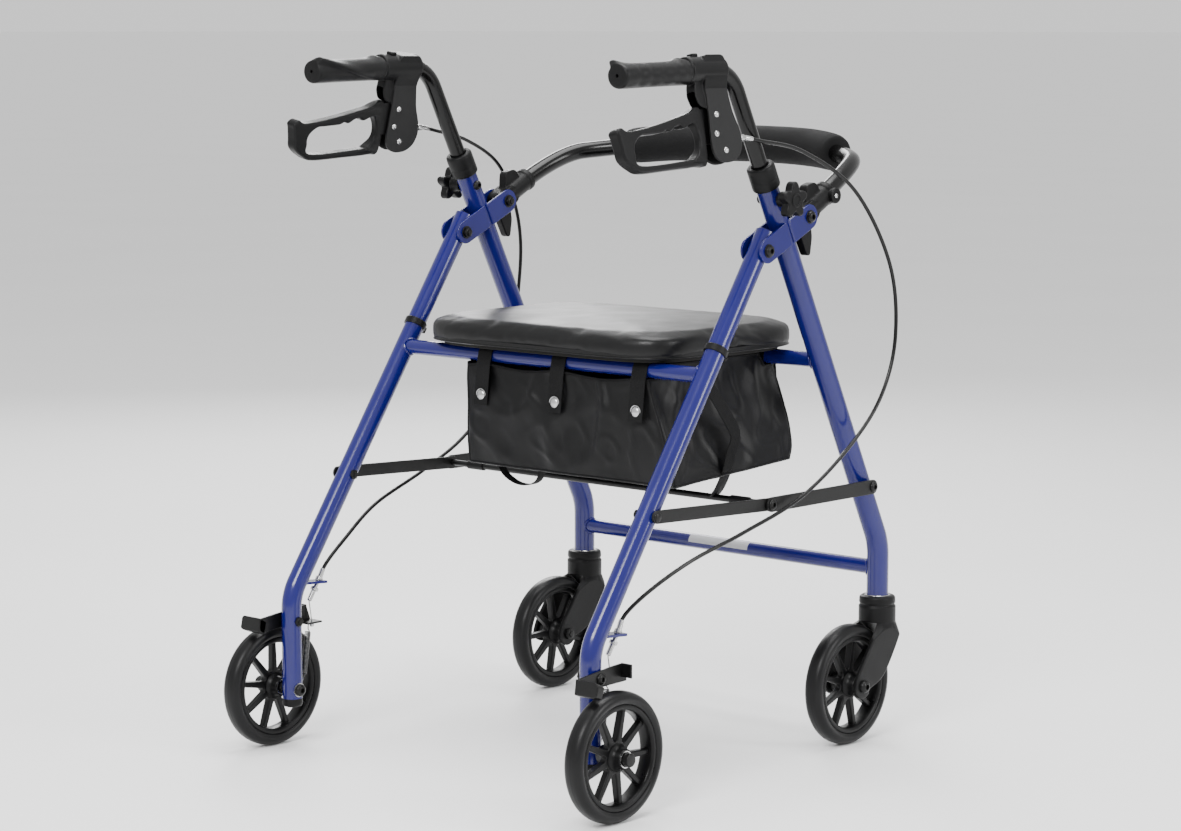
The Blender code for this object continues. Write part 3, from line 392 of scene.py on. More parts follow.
def turned(name, profile, look, steps=48):
    """A shape turned about local Z from (radius, height) points: a ring if the first is off the axis."""
    data = bpy.data.meshes.new(name)
    points = [(radius, 0.0, height) for radius, height in profile]
    edges = [(i, i + 1) for i in range(len(points) - 1)]
    if profile[0][0] > 0.0:
        edges.append((len(points) - 1, 0))
    data.from_pydata(points, edges, [])
    obj = place(name, data, look)
    spin = obj.modifiers.new("turn", "SCREW")
    spin.steps = steps
    spin.render_steps = steps
    spin.use_merge_vertices = True
    spin.merge_threshold = 0.00001
    return smooth(to_mesh(obj), 40)


def turned_x(name, profile, x, y, z, s, look, steps=40):
    """A turned shape whose axis points along +X (s = 1) or -X (s = -1), with its foot at x."""
    obj = turned(name, profile, look, steps)
    obj.matrix_world = Matrix.Translation((x, y, z)) @ Matrix.Rotation(s * math.pi / 2, 4, "Y")
    return bake(obj)


def bolt_head(x, y, z, s, radius, height, look=STEEL):
    """A low button head with a round socket."""
    socket = radius * 0.42
    profile = [(0.0, height * 0.35), (socket, height * 0.35), (socket, height * 0.96),
               (socket * 1.15, height)]
    profile += [(radius * 0.66, height * 0.94), (radius * 0.88, height * 0.72), (radius, height * 0.38),
                (radius, 0.0)]
    profile += [(0.0, 0.0)]
    return turned_x("head", profile, x, y, z, s, look)


def nut(x, y, z, s, radius, height, look=STEEL):
    """A lock nut: six flats, and a round crown with the thread's end in it."""
    flats = bar_x("nut", y, z, x, x + s * height * 0.68, radius, look, 6)
    edge = flats.modifiers.new("edge", "BEVEL")
    edge.width = 0.0005
    edge.segments = 2
    flats = smooth(to_mesh(flats), 30)
    crown = turned_x(
        "crown",
        [(0.0, height * 1.15), (radius * 0.42, height * 1.1), (radius * 0.45, height * 0.85),
         (radius * 0.6, height * 0.95),
         (radius * 0.76, height * 0.86), (radius * 0.8, height * 0.6)],
        x, y, z, s, look, 28,
    )
    return [flats, crown]


def rivet(x, y, z, s, radius=0.0036, height=0.0018, look=ZINC):
    profile = [(0.0, height)]
    for step in range(1, 7):
        turn = math.radians(90 - 15 * step)
        profile.append((radius * math.cos(turn), height * math.sin(turn)))
    return turned_x("rivet", profile, x, y, z, s, look, 24)


def circle(y, z, radius, count=16, phase=0.0):
    turns = [phase + math.tau * i / count for i in range(count)]
    return [(y + radius * math.cos(turn), z + radius * math.sin(turn)) for turn in turns]


def stadium(start, end, radius, count=16):
    """A flat bar outline with round ends."""
    angle = math.atan2(end[1] - start[1], end[0] - start[0])
    loop = []
    for centre, base in ((end, angle - math.pi / 2), (start, angle + math.pi / 2)):
        for i in range(count + 1):
            turn = base + math.pi * i / count
            loop.append((centre[0] + radius * math.cos(turn), centre[1] + radius * math.sin(turn)))
    return loop


def merge(name, parts):
    """The parts as one object, each with its own finish."""
    first = parts[0]
    if len(parts) > 1:
        with bpy.context.temp_override(
            active_object=first, object=first, selected_objects=parts, selected_editable_objects=parts
        ):
            bpy.ops.object.join()
    first.name = name
    first.data.name = name
    return first


def piece(name, parts, body, nodes=()):
    """One named piece that rides on the body and stands for the CAD nodes."""
    obj = merge(name, parts)
    level = obj.modifiers.new("level", "WEIGHTED_NORMAL")
    level.keep_sharp = True
    if nodes:
        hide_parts(*nodes)
    if body:
        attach(obj, body)
    return obj


def stand_in(name, parts, body):
    """The piece that stands for the CAD node of the same name."""
    return piece(f"{name}_shown", parts, body, [name])


def moulded(name, parts, voxel, rounds, look):
    """The parts melted into one moulding with small fillets where they meet."""
    obj = merge(name, parts)
    melt = obj.modifiers.new("melt", "REMESH")
    melt.mode = "VOXEL"
    melt.voxel_size = voxel
    ease = obj.modifiers.new("ease", "SMOOTH")
    ease.factor = 0.5
    ease.iterations = rounds
    obj.data.materials.clear()
    obj.data.materials.append(look)
    made = to_mesh(obj)
    made.data.shade_smooth()
    return made


def ribbon(name, path, across, width, thick, look):
    """A flat strap along the path, its width along the given direction."""
    across = Vector(across).normalized()
    path = [Vector(p) for p in path]
    rings = []
    for i, point in enumerate(path):
        ahead = (path[min(i + 1, len(path) - 1)] - path[max(i - 1, 0)]).normalized()
        wide = (across - ahead * across.dot(ahead)).normalized()
        out = ahead.cross(wide)
        ring = []
        for a, b in ((-1, -0.6), (-0.9, -1), (0.9, -1), (1, -0.6), (1, 0.6), (0.9, 1), (-0.9, 1), (-1, 0.6)):
            ring.append(point + wide * (a * width / 2) + out * (b * thick / 2))
        rings.append(ring)
    return smooth(loft(name, rings, look), 50)


def post_y(z):
    """The Y of a post's centre line at height z."""
    return POST_LOW_Y - max(z - POST_BEND_Z, 0.0) * math.tan(POST_TILT)


def leg_y(z):
    """The Y of a leg's centre line at height z."""
    share = (z - LEG_BEND_Z) / (HINGE_Z - LEG_BEND_Z)
    return REAR_AXLE_Y + max(share, 0.0) * (HINGE_Y - REAR_AXLE_Y)


def loft(name, rings, look):
    """A closed skin over rings of the same number of points."""
    return place(name, skin_of(name, rings, True, True, True), look)


def weld(x, s, y, z, axis, radius):
    """The weld bead where a cross tube meets a side tube of the given radius and direction."""
    normal = Vector((0, -axis[2], axis[1])).normalized()
    line = []
    for i in range(48):
        turn = math.tau * i / 48
        around = Vector((0, math.cos(turn), math.sin(turn))) * (CROSS_RADIUS + 0.0006)
        side = math.sqrt(max(radius ** 2 - around.dot(normal) ** 2, 0.0))
        wave = 0.00015 * math.sin(turn * 14)
        line.append((x - s * (side + 0.0004), y + around.y * (1 + wave * 40), z + around.z * (1 + wave * 40)))
    return rod("weld", line, 0.0017, BLUE, 10, closed=True)


# ---------------------------------------------------------------- front frame
def post_path(x):
    foot = (x, POST_LOW_Y, POST_FOOT_Z)
    bend = (x, POST_LOW_Y, POST_BEND_Z)
    top = (x, post_y(POST_TOP_Z), POST_TOP_Z)
    return rounded([foot, bend, top], 0.07, 16)


def aim(obj, point, axis):
    """Stands a shape that was made about +Z on the point, along the axis."""
    turn = Vector((0, 0, 1)).rotation_difference(Vector(axis))
    obj.matrix_world = Matrix.Translation(point) @ turn.to_matrix().to_4x4()
    return bake(obj)


POST_AXIS = Vector((0, -math.sin(POST_TILT), math.cos(POST_TILT)))
LEG_AXIS = Vector((0, HINGE_Y - REAR_AXLE_Y, HINGE_Z - LEG_BEND_Z)).normalized()


def trim_loop(loop, point, away):
    """The part of a closed YZ loop on the side of the line through the point that faces away."""
    kept = []
    reach = [(p[0] - point[0]) * away[0] + (p[1] - point[1]) * away[1] for p in loop]
    for i, p in enumerate(loop):
        before, d0, d1 = loop[i - 1], reach[i - 1], reach[i]
        if (d0 < 0) != (d1 < 0):
            t = d0 / (d0 - d1)
            kept.append((before[0] + (p[0] - before[0]) * t, before[1] + (p[1] - before[1]) * t))
        if d1 >= 0:
            kept.append(p)
    return kept


def make_post(side, s):
    """A bent post with a welded bracket lobe behind it and one in front of it, on both faces."""
    x = s * SIDE_X
    parts = [pipe("post", post_path(x), POST_RADIUS, BLUE)]
    crossing = (post_y(BRACKET_Z), BRACKET_Z)
    lobes = (((HINGE_Y, HINGE_Z), -1), (BACK_PIVOT, 1))
    for face in (BRACKET_IN, -BRACKET_IN - PLATE):
        for pivot, way in lobes:
            normal = (way * math.cos(POST_TILT), way * math.sin(POST_TILT))
            edge = (crossing[0] + normal[0] * 0.0035, crossing[1] + normal[1] * 0.0035)
            loop = trim_loop(stadium((HINGE_Y, HINGE_Z), BACK_PIVOT, 0.015), edge, normal)
            hole = circle(*pivot, AXLE_RADIUS, 24)
            parts.append(outline("lobe", [loop, hole], x + face, x + face + PLATE, BLUE, 0.0008))
            bead = []
            for i in range(19):
                t = (i - 9) / 9 * 0.0148
                out = math.copysign(0.0136, face) + math.copysign(0.0002 * math.cos(i * 2.3), face)
                bead.append(Vector((x + out, *edge)) + POST_AXIS * t)
            parts.append(rod("weld", bead, 0.0018, BLUE, 12))
    stand_in(f"{side}_post", parts, "front_frame")
    knob_y = post_y(KNOB_Z)
    head = bolt_head(x - s * (POST_RADIUS - 0.0006), knob_y, KNOB_Z, -s, 0.0062, 0.0048)
    piece(f"{side}_height_bolt_head", [head], "front_frame")


def make_collar(side, s):
    """The plastic bush on a post's top, with a rounded crown and a shallow band."""
    bore = HANDLE_RADIUS + 0.0003
    top = COLLAR_HEIGHT
    profile = [(bore, top - 0.001), (0.0112, top), (0.0148, top), (0.016, top - 0.0006),
               (0.017, top - 0.0022)]
    profile += [(0.0172, top - 0.006), (0.0172, 0.0125), (0.0168, 0.012), (0.0168, 0.011), (0.0172, 0.0105)]
    profile += [(0.0172, 0.0025), (0.0169, 0.001), (0.0162, 0.0), (POST_RADIUS + 0.0001, 0.0), (bore, 0.01)]
    collar = turned("collar", profile, PLASTIC, 56)
    start_z = POST_TOP_Z - (0.0165 - GAP) * math.cos(POST_TILT)
    aim(collar, (s * SIDE_X, post_y(start_z), start_z), POST_AXIS)
    stand_in(f"{side}_collar", [collar], "front_frame")


def make_pivot_bolt(name, s, y, z):
    """A through bolt with a button head outboard and a lock nut inboard."""
    reach = BRACKET_IN + PLATE
    x = s * SIDE_X
    shank = bar_x("shank", y, z, x - reach - 0.002, x + reach + 0.002, AXLE_RADIUS, STEEL, 20)
    washers = [
        turned_x("washer", [(0.0, 0.0009), (0.0078, 0.0009), (0.0082, 0.0006), (0.0082, 0.0), (0.0, 0.0)],
                 x + way * (reach + GAP), y, z, way, STEEL)
        for way in (-1, 1)
    ]
    head = bolt_head(x + s * (reach + 0.0011), y, z, s, 0.007, 0.0042)
    lock = nut(x - s * (reach + 0.0011), y, z, -s, 0.007, 0.0052)
    stand_in(name, [shank, *washers, head, *lock], "front_frame")


def make_cross(name, y, z, axis, radius, body):
    """A cross tube between side tubes of the given radius and direction, with its weld beads."""
    x_half = SIDE_X - 0.004
    parts = [rod(name, [(-x_half, y, z), (x_half, y, z)], CROSS_RADIUS, BLUE, 44)]
    for _, s in SIDES:
        parts.append(weld(s * SIDE_X, s, y, z, axis, radius))
    stand_in(name, parts, body)


def make_front_frame():
    for side, s in SIDES:
        make_post(side, s)
        make_collar(side, s)
        make_pivot_bolt(f"{side}_hinge_bolt", s, HINGE_Y, HINGE_Z)
        make_pivot_bolt(f"{side}_backrest_bolt", s, *BACK_PIVOT)
    make_cross("lower_front_tube", POST_LOW_Y, LOWER_TUBE_Z, (0, 0, 1), POST_RADIUS, "front_frame")
    make_cross("front_seat_tube", post_y(SEAT_TUBE_Z), SEAT_TUBE_Z, POST_AXIS, POST_RADIUS, "front_frame")
    make_label()


def make_label():
    """A blank film wrapped round the front of the lower cross tube."""
    rings = []
    around = CROSS_RADIUS + 0.0003
    for turn in (-70, -52, -34, -16, 2):
        a = math.radians(turn)
        rings.append((POST_LOW_Y - around * math.cos(a), LOWER_TUBE_Z - around * math.sin(a)))
    rows = [[(x, y, z) for y, z in rings] for x in (-0.055, 0.045)]
    film = place("label", skin_of("label", rows, False), LABEL)
    film.modifiers.new("film", "SOLIDIFY").thickness = 0.0002
    piece("blank_label", [smooth(to_mesh(film))], "front_frame")


# ---------------------------------------------------------------- rear frame
def leg_path(x):
    top_z = HINGE_Z + 0.02
    return rounded(
        [(x, REAR_AXLE_Y, LEG_FOOT_Z), (x, REAR_AXLE_Y, LEG_BEND_Z), (x, leg_y(top_z), top_z)], 0.06, 16
    )


def guide_line(x, half):
    """The line that the cable follows through its guide tab, along the leg."""
    middle = Vector((x, -0.219, 0.2065))
    along = Vector((0, HINGE_Y - REAR_AXLE_Y, HINGE_Z - LEG_BEND_Z)).normalized()
    return [middle - along * half, middle + along * half]


def ring_on(point, axis, inner, outer, height, look, lip=0.0006):
    """A band around a tube, centred on the point."""
    h = height / 2
    profile = [(inner, h), (outer - lip, h), (outer, h - lip), (outer, lip - h), (outer - lip, -h),
               (inner, -h)]
    return aim(turned("ring", profile, look), point, axis)


def make_leg(side, s):
    """A bent leg with its cable-guide tab, end caps and ring clamp."""
    x = s * SIDE_X
    leg = pipe("leg", leg_path(x), LEG_RADIUS, BLUE)
    tab_z = 0.206
    loop = [(-0.2505, tab_z + 0.0042), (-0.211, tab_z + 0.0012), (-0.211, tab_z - 0.002),
            (-0.2505, tab_z + 0.001)]
    tab = outline("tab", [loop], x - 0.009, x + 0.009, BLUE, 0.0004)
    stand_in(f"{side}_leg", [leg, tab], "rear_frame")
    foot = turned(
        "foot",
        [(0.0, -0.0045), (0.008, -0.0042), (0.0112, -0.003), (0.0126, -0.001), (0.0129, 0.0012),
         (0.0129, 0.006),
         (0.0126, 0.0066), (0.0, 0.0066)],
        PLASTIC, 44,
    )
    aim(foot, (x, REAR_AXLE_Y, LEG_FOOT_Z), (0, 0, 1))
    top_z = HINGE_Z + 0.02
    plug = turned(
        "plug", [(0.0, 0.0028), (0.0075, 0.0024), (0.011, 0.0012), (0.012, 0.0), (0.0, 0.0)], PLASTIC, 40
    )
    aim(plug, (x, leg_y(top_z), top_z), LEG_AXIS)
    centre = Vector((x, leg_y(LEG_CLAMP_Z), LEG_CLAMP_Z))
    band = ring_on(centre, LEG_AXIS, LEG_RADIUS, 0.0144, 0.0085, PLASTIC)
    across = LEG_AXIS.cross(Vector((1, 0, 0)))
    lug = box("lug", (-0.004, -0.0028, -0.004), (0.004, 0.0028, 0.004), PLASTIC, 0.001)
    aim(lug, centre + across * 0.016, LEG_AXIS)
    screw = bolt_head(x + s * 0.0036, *(centre + across * 0.0165)[1:], s, 0.0024, 0.0014, STEEL)
    piece(f"{side}_leg_trim", [foot, plug, band, lug, screw], "rear_frame")


def make_cable_end(side, s):
    """The barrel adjuster, bare wire and nipple at the lower end of a brake cable."""
    x = s * SIDE_X
    low, high = guide_line(x, 0.0085)
    along = (high - low).normalized()
    barrel = [
        (0.0, 0.0185), (0.0016, 0.0185), (0.0026, 0.0182), (0.0031, 0.0175), (0.0031, 0.0125),
        (0.0042, 0.0122), (0.0046, 0.0115), (0.0046, 0.0085), (0.0042, 0.0078), (0.0026, 0.0076),
        (0.0026, -0.0024), (0.0048, -0.0026), (0.005, -0.0032), (0.005, -0.0058), (0.0046, -0.0064),
        (0.003, -0.0066), (0.003, -0.02), (0.0026, -0.0208), (0.0014, -0.0212), (0.0, -0.0212),
    ]
    adjuster = aim(turned("adjuster", barrel, ZINC, 24), low + along * 0.002, along)
    tongue = Vector((x, -0.23, 0.1555))
    wire = rod("wire", [low - along * 0.01, low - along * 0.019, tongue], 0.0008, ZINC, 10)
    nipple = aim(turned("nipple", [(0.0, 0.002), (0.0022, 0.002), (0.0026, 0.0014), (0.0026, -0.0014),
                                   (0.0022, -0.002),
                                   (0.0, -0.002)], ZINC, 20), tongue - Vector((0, 0, 0.0032)), (0, 0, 1))
    piece(f"{side}_cable_end", [adjuster, wire], "rear_frame")
    piece(f"{side}_cable_nipple", [nipple], f"{side}_brake_arm")


def make_rear_axle(side, s):
    leg_face = s * (SIDE_X + LEG_RADIUS)
    hub_in = s * (REAR_WHEEL_X - HUB_HALF)
    hub_out = s * (REAR_WHEEL_X + HUB_HALF)
    y, z = REAR_AXLE_Y, WHEEL_RADIUS
    parts = [bar_x("shank", y, z, s * 0.236, hub_out + s * 0.004, AXLE_RADIUS, STEEL, 20)]
    parts.append(bolt_head(s * (SIDE_X - LEG_RADIUS - 0.0008), y, z, -s, 0.0076, 0.0055))
    parts.append(turned_x("washer", [(0.0, 0.0008), (0.0088, 0.0008), (0.0088, 0.0), (0.0, 0.0)],
                          s * (SIDE_X - LEG_RADIUS), y, z, -s, ZINC))
    gap = abs(hub_in - leg_face)
    parts.append(turned_x("spacer", [(0.0, gap), (0.0062, gap), (0.0066, gap - 0.0005), (0.0066, 0.0005),
                                     (0.0062, 0.0)],
                          leg_face, y, z, s, STEEL))
    cap = [(0.0, 0.0082), (0.0062, 0.0082), (0.0074, 0.0077), (0.0079, 0.0066), (0.008, 0.0012),
           (0.0074, 0.0004),
           (0.0, 0.0004)]
    parts.append(turned_x("cap", cap, hub_out, y, z, s, STEEL))
    stand_in(f"{side}_rear_axle", parts, "rear_frame")


def make_spring(side, s):
    """A close-wound return spring from the brake arm's tongue to a hook at the axle."""
    x = s * SIDE_X
    low = Vector((x, -0.2448, 0.0925))
    high = Vector((x, -0.2372, 0.145))
    along = (high - low).normalized()
    out = Vector((1, 0, 0))
    back = along.cross(out)
    turns = 30
    line = [Vector((x, -0.252, 0.0838)), Vector((x, -0.2465, 0.0845)), low - along * 0.004]
    for i in range(turns * 14 + 1):
        turn = math.tau * i / 14
        line.append(low.lerp(high,
                             i / (turns * 14)) + (out * math.cos(turn) + back * math.sin(turn)) * 0.0033)
    line += [high + along * 0.003, Vector((x, -0.2365, 0.153))]
    stand_in(f"{side}_brake_spring", [rod("spring", line, 0.0007, SPRING, 8)], "rear_frame")


def make_rear_frame():
    for side, s in SIDES:
        make_leg(side, s)
        make_cable_end(side, s)
        make_rear_axle(side, s)
        make_spring(side, s)
    make_cross("rear_seat_tube", leg_y(SEAT_TUBE_Z), SEAT_TUBE_Z, LEG_AXIS, LEG_RADIUS, "rear_frame")


# ---------------------------------------------------------------- wheels
def on_side(obj):
    """Turns a shape made about Z onto the X axis."""
    obj.matrix_world = Matrix.Rotation(math.pi / 2, 4, "Y")
    return bake(obj)


def mirrored(half_profile):
    """The profile's points and their mirror images across height zero."""
    return half_profile + [(radius, -height) for radius, height in half_profile[::-1]]


def wheel_core():
    """Rim, hub and nine tapered spokes in one moulding, spun about local X."""
    rim = turned("rim", mirrored([
        (0.0538, 0.003), (0.0546, 0.0075), (0.0556, 0.0094), (0.057, 0.0104), (0.0585, 0.0108),
        (0.0604, 0.0106), (0.0616, 0.01), (RIM_RADIUS, 0.0088),
    ]), WHEEL, 96)
    hub = turned("hub", mirrored([
        (0.0045, HUB_HALF - 0.0014), (0.0075, HUB_HALF - 0.0014), (0.0079, HUB_HALF - 0.0002),
        (0.0084, HUB_HALF), (0.0112, HUB_HALF), (0.012, HUB_HALF - 0.001), (0.0126, 0.012),
        (0.0138, 0.0082), (0.0165, 0.0056),
    ]), WHEEL, 48)
    bearings = turned("bearing", mirrored([
        (0.0086, HUB_HALF - 0.0006), (0.0088, HUB_HALF + 0.0002), (0.01, HUB_HALF + 0.0002),
        (0.0102, HUB_HALF - 0.0006),
    ]), ZINC, 40)
    windows = []
    for i in range(SPOKES):
        middle = -math.pi / 2 + math.tau * (i + 0.5) / SPOKES
        half = math.pi / SPOKES
        loop = []
        for turn in (-0.84, -0.42, 0.0, 0.42, 0.84):
            loop.append((0.0552, middle + turn * half))
        loop.append((0.0192, middle + 0.36 * half))
        loop.append((0.0192, middle - 0.36 * half))
        windows.append(soften([(r * math.cos(a), r * math.sin(a)) for r, a in loop], 0.0028, 4))
    disc = outline("disc", [circle(0, 0, 0.0605, 96), *windows, circle(0, 0, 0.009, 24)], -0.0048, 0.0048,
                   WHEEL,
                   0.0017, 3)
    return merge("wheel_core_mesh", [disc, on_side(rim), on_side(hub), on_side(bearings)])


def tyre():
    """A solid tyre with round shoulders, a mould line and two shallow side steps."""
    half = [(RIM_RADIUS - 0.0008, 0.009), (RIM_RADIUS, 0.0106), (0.0634, 0.0114), (0.0645, 0.0117),
            (0.0652, 0.0122)]
    for step in range(13):
        turn = math.radians(step * 90 / 13)
        half.append((0.0668 + 0.0093 * math.sin(turn), 0.0004 + 0.0121 * math.cos(turn) ** 0.75))
    half += [(0.0761, 0.0012), (WHEEL_RADIUS, 0.0009), (WHEEL_RADIUS, 0.0003)]
    return on_side(turned("tyre_mesh", mirrored(half), TYRE, 144))


def make_wheels():
    core = wheel_core()
    skin = tyre()
    for side, s in SIDES:
        places = (
            (f"{side}_rear_wheel", s * REAR_WHEEL_X, REAR_AXLE_Y, 7.0 if s > 0 else 21.0),
            (f"{side}_caster_wheel", s * SIDE_X, POST_LOW_Y - CASTER_TRAIL, 12.0 if s > 0 else 30.0),
        )
        for name, x, y, turn in places:
            for part, model, slot in (("core", core, "black_plastic"), ("tyre", skin, "tyre")):
                data = model.data.copy()
                data.transform(Matrix.Rotation(math.radians(turn), 4, "X"))
                obj = bpy.data.objects.new(f"{name}_{part}_shown", data)
                shown.objects.link(obj)
                obj.matrix_world = Matrix.Translation((x, y, WHEEL_RADIUS))
                obj.modifiers.new("level", "WEIGHTED_NORMAL").keep_sharp = True
                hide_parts(f"{name}_{part}")
                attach(obj, name)
    for model in (core, skin):
        bpy.data.objects.remove(model, do_unlink=True)


# ---------------------------------------------------------------- casters
def fork_outline(axle_y):
    """The side view of a fork arm, from the neck down and back to the axle boss."""
    front = [(0.304, 0.166), (0.3035, 0.15), (0.2935, 0.125), (0.264, 0.084)]
    rear = [(0.212, 0.092), (0.236, 0.125), (0.254, 0.15), (0.257, 0.166)]
    boss = []
    for i in range(9):
        turn = math.radians(-20 - 150 * i / 8)
        boss.append((axle_y + 0.016 * math.cos(turn), WHEEL_RADIUS + 0.016 * math.sin(turn)))
    return front + boss + rear


def make_caster(side, s):
    """A swivelling fork: a ringed neck, two arms and the web between them, and its axle bolt."""
    x = s * SIDE_X
    axle_y = POST_LOW_Y - CASTER_TRAIL
    top = FORK_TOP_Z
    profile = [(0.0, top), (0.019, top), (0.0212, top - 0.0008), (0.0228, top - 0.0026), (0.0232, 0.174),
               (0.023, 0.1722)]
    profile += [(0.0218, 0.1712), (0.0218, 0.17), (0.0231, 0.1688), (0.0234, 0.166), (0.0234, 0.156),
                (0.0, 0.156)]
    neck = turned("neck", profile, PLASTIC, 64)
    neck.matrix_world = Matrix.Translation((x, POST_LOW_Y, 0))
    neck = bake(neck)
    hole = circle(axle_y, WHEEL_RADIUS, AXLE_RADIUS, 24)
    arms = []
    for low, high in ((FORK_INNER, FORK_OUTER), (-FORK_OUTER, -FORK_INNER)):
        arms.append(outline("arm", [flow(fork_outline(axle_y), 4), hole], x + low, x + high, PLASTIC, 0.001))
        out = 1 if low > 0 else -1
        arms.append(bar_x("boss", axle_y, WHEEL_RADIUS, x + out * FORK_INNER, x + out * (FORK_OUTER + 0.0002),
                          0.0125, PLASTIC))
    loop = soften([(0.256, 0.1555), (0.2545, 0.164), (0.262, 0.1665), (0.3, 0.1665), (0.304, 0.163),
                   (0.3035, 0.1555)],
                  0.003)
    crown = outline("crown", [loop], x - 0.024, x + 0.024, PLASTIC, 0.001)
    loop = [(0.257, 0.166), (0.2575, 0.151), (0.272, 0.147), (0.286, 0.137), (0.295, 0.127), (0.301, 0.14),
            (0.304, 0.166)]
    bridge = outline("bridge", [flow(loop, 4)], x - 0.0205, x + 0.0205, PLASTIC, 0.001)
    fork = moulded("fork", [neck, crown, bridge, *arms], 0.0009, 3, PLASTIC)
    for vertex in fork.data.vertices:
        co = vertex.co
        flat = Vector((co.x - x, co.y - POST_LOW_Y))
        rate = 0.35 + 1.25 * min(max(-flat.y / 0.02, 0.0), 1.0)
        limit = FORK_NECK + rate * max(0.148 - co.z, 0.0)
        if flat.length > limit:
            flat *= limit / flat.length
            co.x = x + flat.x
            co.y = POST_LOW_Y + flat.y
    stand_in(f"{side}_caster_fork", [fork], f"{side}_caster")
    race = ring_on((x, POST_LOW_Y, top + 0.0002), (0, 0, 1), 0.006, 0.0165, 0.001, ZINC)
    stem = bar_x("stem", POST_LOW_Y, WHEEL_RADIUS, x - 0.0295, x + 0.0295, AXLE_RADIUS, STEEL, 20)
    stem.data.transform(Matrix.Translation((0, -CASTER_TRAIL, 0)))
    head = bolt_head(x + s * (FORK_OUTER + 0.0003), axle_y, WHEEL_RADIUS, s, 0.008, 0.006)
    lock = nut(x - s * (FORK_OUTER + 0.0003), axle_y, WHEEL_RADIUS, -s, 0.008, 0.0058)
    stand_in(f"{side}_caster_axle", [stem, head, *lock], f"{side}_caster")
    piece(f"{side}_caster_race", [race], f"{side}_caster")


# ---------------------------------------------------------------- folding links
def make_links():
    """The folding links on the posts' outer faces, and the rod between their middle pivots."""
    rear_face = POST_RADIUS + 0.0006
    front_face = rear_face + PLATE + 0.0006
    for side, s in SIDES:
        x = s * SIDE_X
        faces = (x + s * rear_face, x + s * (rear_face + PLATE))
        rear = outline("rear", [stadium(LINK_REAR, LINK_MID, 0.0078)], *faces, STEEL)
        stud = bar_x("stud", *LINK_REAR, x - s * 0.015, x + s * rear_face, AXLE_RADIUS, STEEL, 20)
        lock = nut(x - s * LEG_RADIUS, *LINK_REAR, -s, 0.0065, 0.0038)
        head = rivet(x + s * (rear_face + PLATE), *LINK_REAR, s, 0.006, 0.0026, STEEL)
        stand_in(f"{side}_rear_link", [rear, stud, head, *lock], "rear_links")
        faces = (x + s * front_face, x + s * (front_face + PLATE))
        front = outline("front", [stadium(LINK_MID, LINK_FRONT, 0.009)], *faces, STEEL)
        stud = bar_x("stud", *LINK_FRONT, x + s * 0.009, x + s * front_face, AXLE_RADIUS, STEEL, 20)
        heads = [bolt_head(x + s * (front_face + PLATE), *end, s, 0.0065, 0.0032) for end in (LINK_MID,
                LINK_FRONT)]
        stand_in(f"{side}_front_link", [front, stud, *heads], "front_links")
    reach = SIDE_X + rear_face - GAP
    crossbar = bar_x("rod", *LINK_MID, -reach, reach, 0.004, STEEL, 28)
    sleeves = [bar_x("sleeve", *LINK_MID, s * 0.208, s * 0.235, 0.0056, PLASTIC, 28) for _, s in SIDES]
    stand_in("link_rod", [crossbar, *sleeves], "rear_links")


# ---------------------------------------------------------------- rear brakes
def round_end(plate, end, s, radius):
    """Rounds the upper and lower corners of a plate's outboard end."""
    work = bmesh.new()
    work.from_mesh(plate.data)
    for step in range(7):
        where = end - s * radius * (1 - math.sin(math.radians(step * 13)))
        bmesh.ops.bisect_plane(work, geom=work.verts[:] + work.edges[:] + work.faces[:],
                               plane_co=(where, 0, 0), plane_no=(1, 0, 0))
    heights = [v.co.z for v in work.verts]
    middle = (min(heights) + max(heights)) / 2
    half = (max(heights) - min(heights)) / 2
    for vertex in work.verts:
        reach = min(max((vertex.co.x - end) * s + radius, 0.0), radius)
        share = (half - radius + math.sqrt(max(radius * radius - reach * reach, 0.0))) / half
        vertex.co.z = middle + (vertex.co.z - middle) * share
    work.to_mesh(plate.data)
    work.free()


def make_brake_arm(side, s):
    """A pressed brake arm with its shoe, cable tongue, flange and pivot pin."""
    x = s * SIDE_X
    face = x + s * (LEG_RADIUS + 0.001)
    web_loop = [(-0.3, 0.15), (-0.27, 0.1535), (-0.22, 0.1545), (-0.22, 0.1575)]
    web_loop += [(-0.227, 0.176), (-0.244, 0.175), (-0.2645, 0.173), (-0.304, 0.169), (-0.306, 0.154)]
    parts = [outline("web", [soften(web_loop, 0.003)], face, face + s * 0.0025, STEEL)]
    plates = (
        ([(-0.3075, 0.152), (-0.2975, 0.1478), (-0.2935, 0.164), (-0.305, 0.17)], face, x + s * 0.0475,
         0.0012),
        ([(-0.229, 0.16), (-0.2262, 0.16), (-0.2262, 0.1765), (-0.229, 0.1755)], face, x + s * 0.03, 0.0006),
        ([(-0.242, 0.1545), (-0.218, 0.1545), (-0.218, 0.157), (-0.242, 0.157)], x - s * 0.006, face, 0.0006),
    )
    for loop, start, end, edge in plates:
        plate = outline("plate", [soften(loop, 0.0012, 4)], start, end, STEEL, edge)
        if edge > 0.001:
            round_end(plate, end, s, 0.006)
        parts.append(plate)
    parts.append(bar_x("pin", REAR_AXLE_Y, BRAKE_PIVOT_Z, x - s * 0.0155, face, AXLE_RADIUS, STEEL, 20))
    parts.append(bolt_head(face + s * 0.0025, REAR_AXLE_Y, BRAKE_PIVOT_Z, s, 0.0068, 0.0034))
    parts += nut(x - s * LEG_RADIUS, REAR_AXLE_Y, BRAKE_PIVOT_Z, -s, 0.0065, 0.0042)
    stand_in(f"{side}_brake_arm", parts, f"{side}_brake_arm")


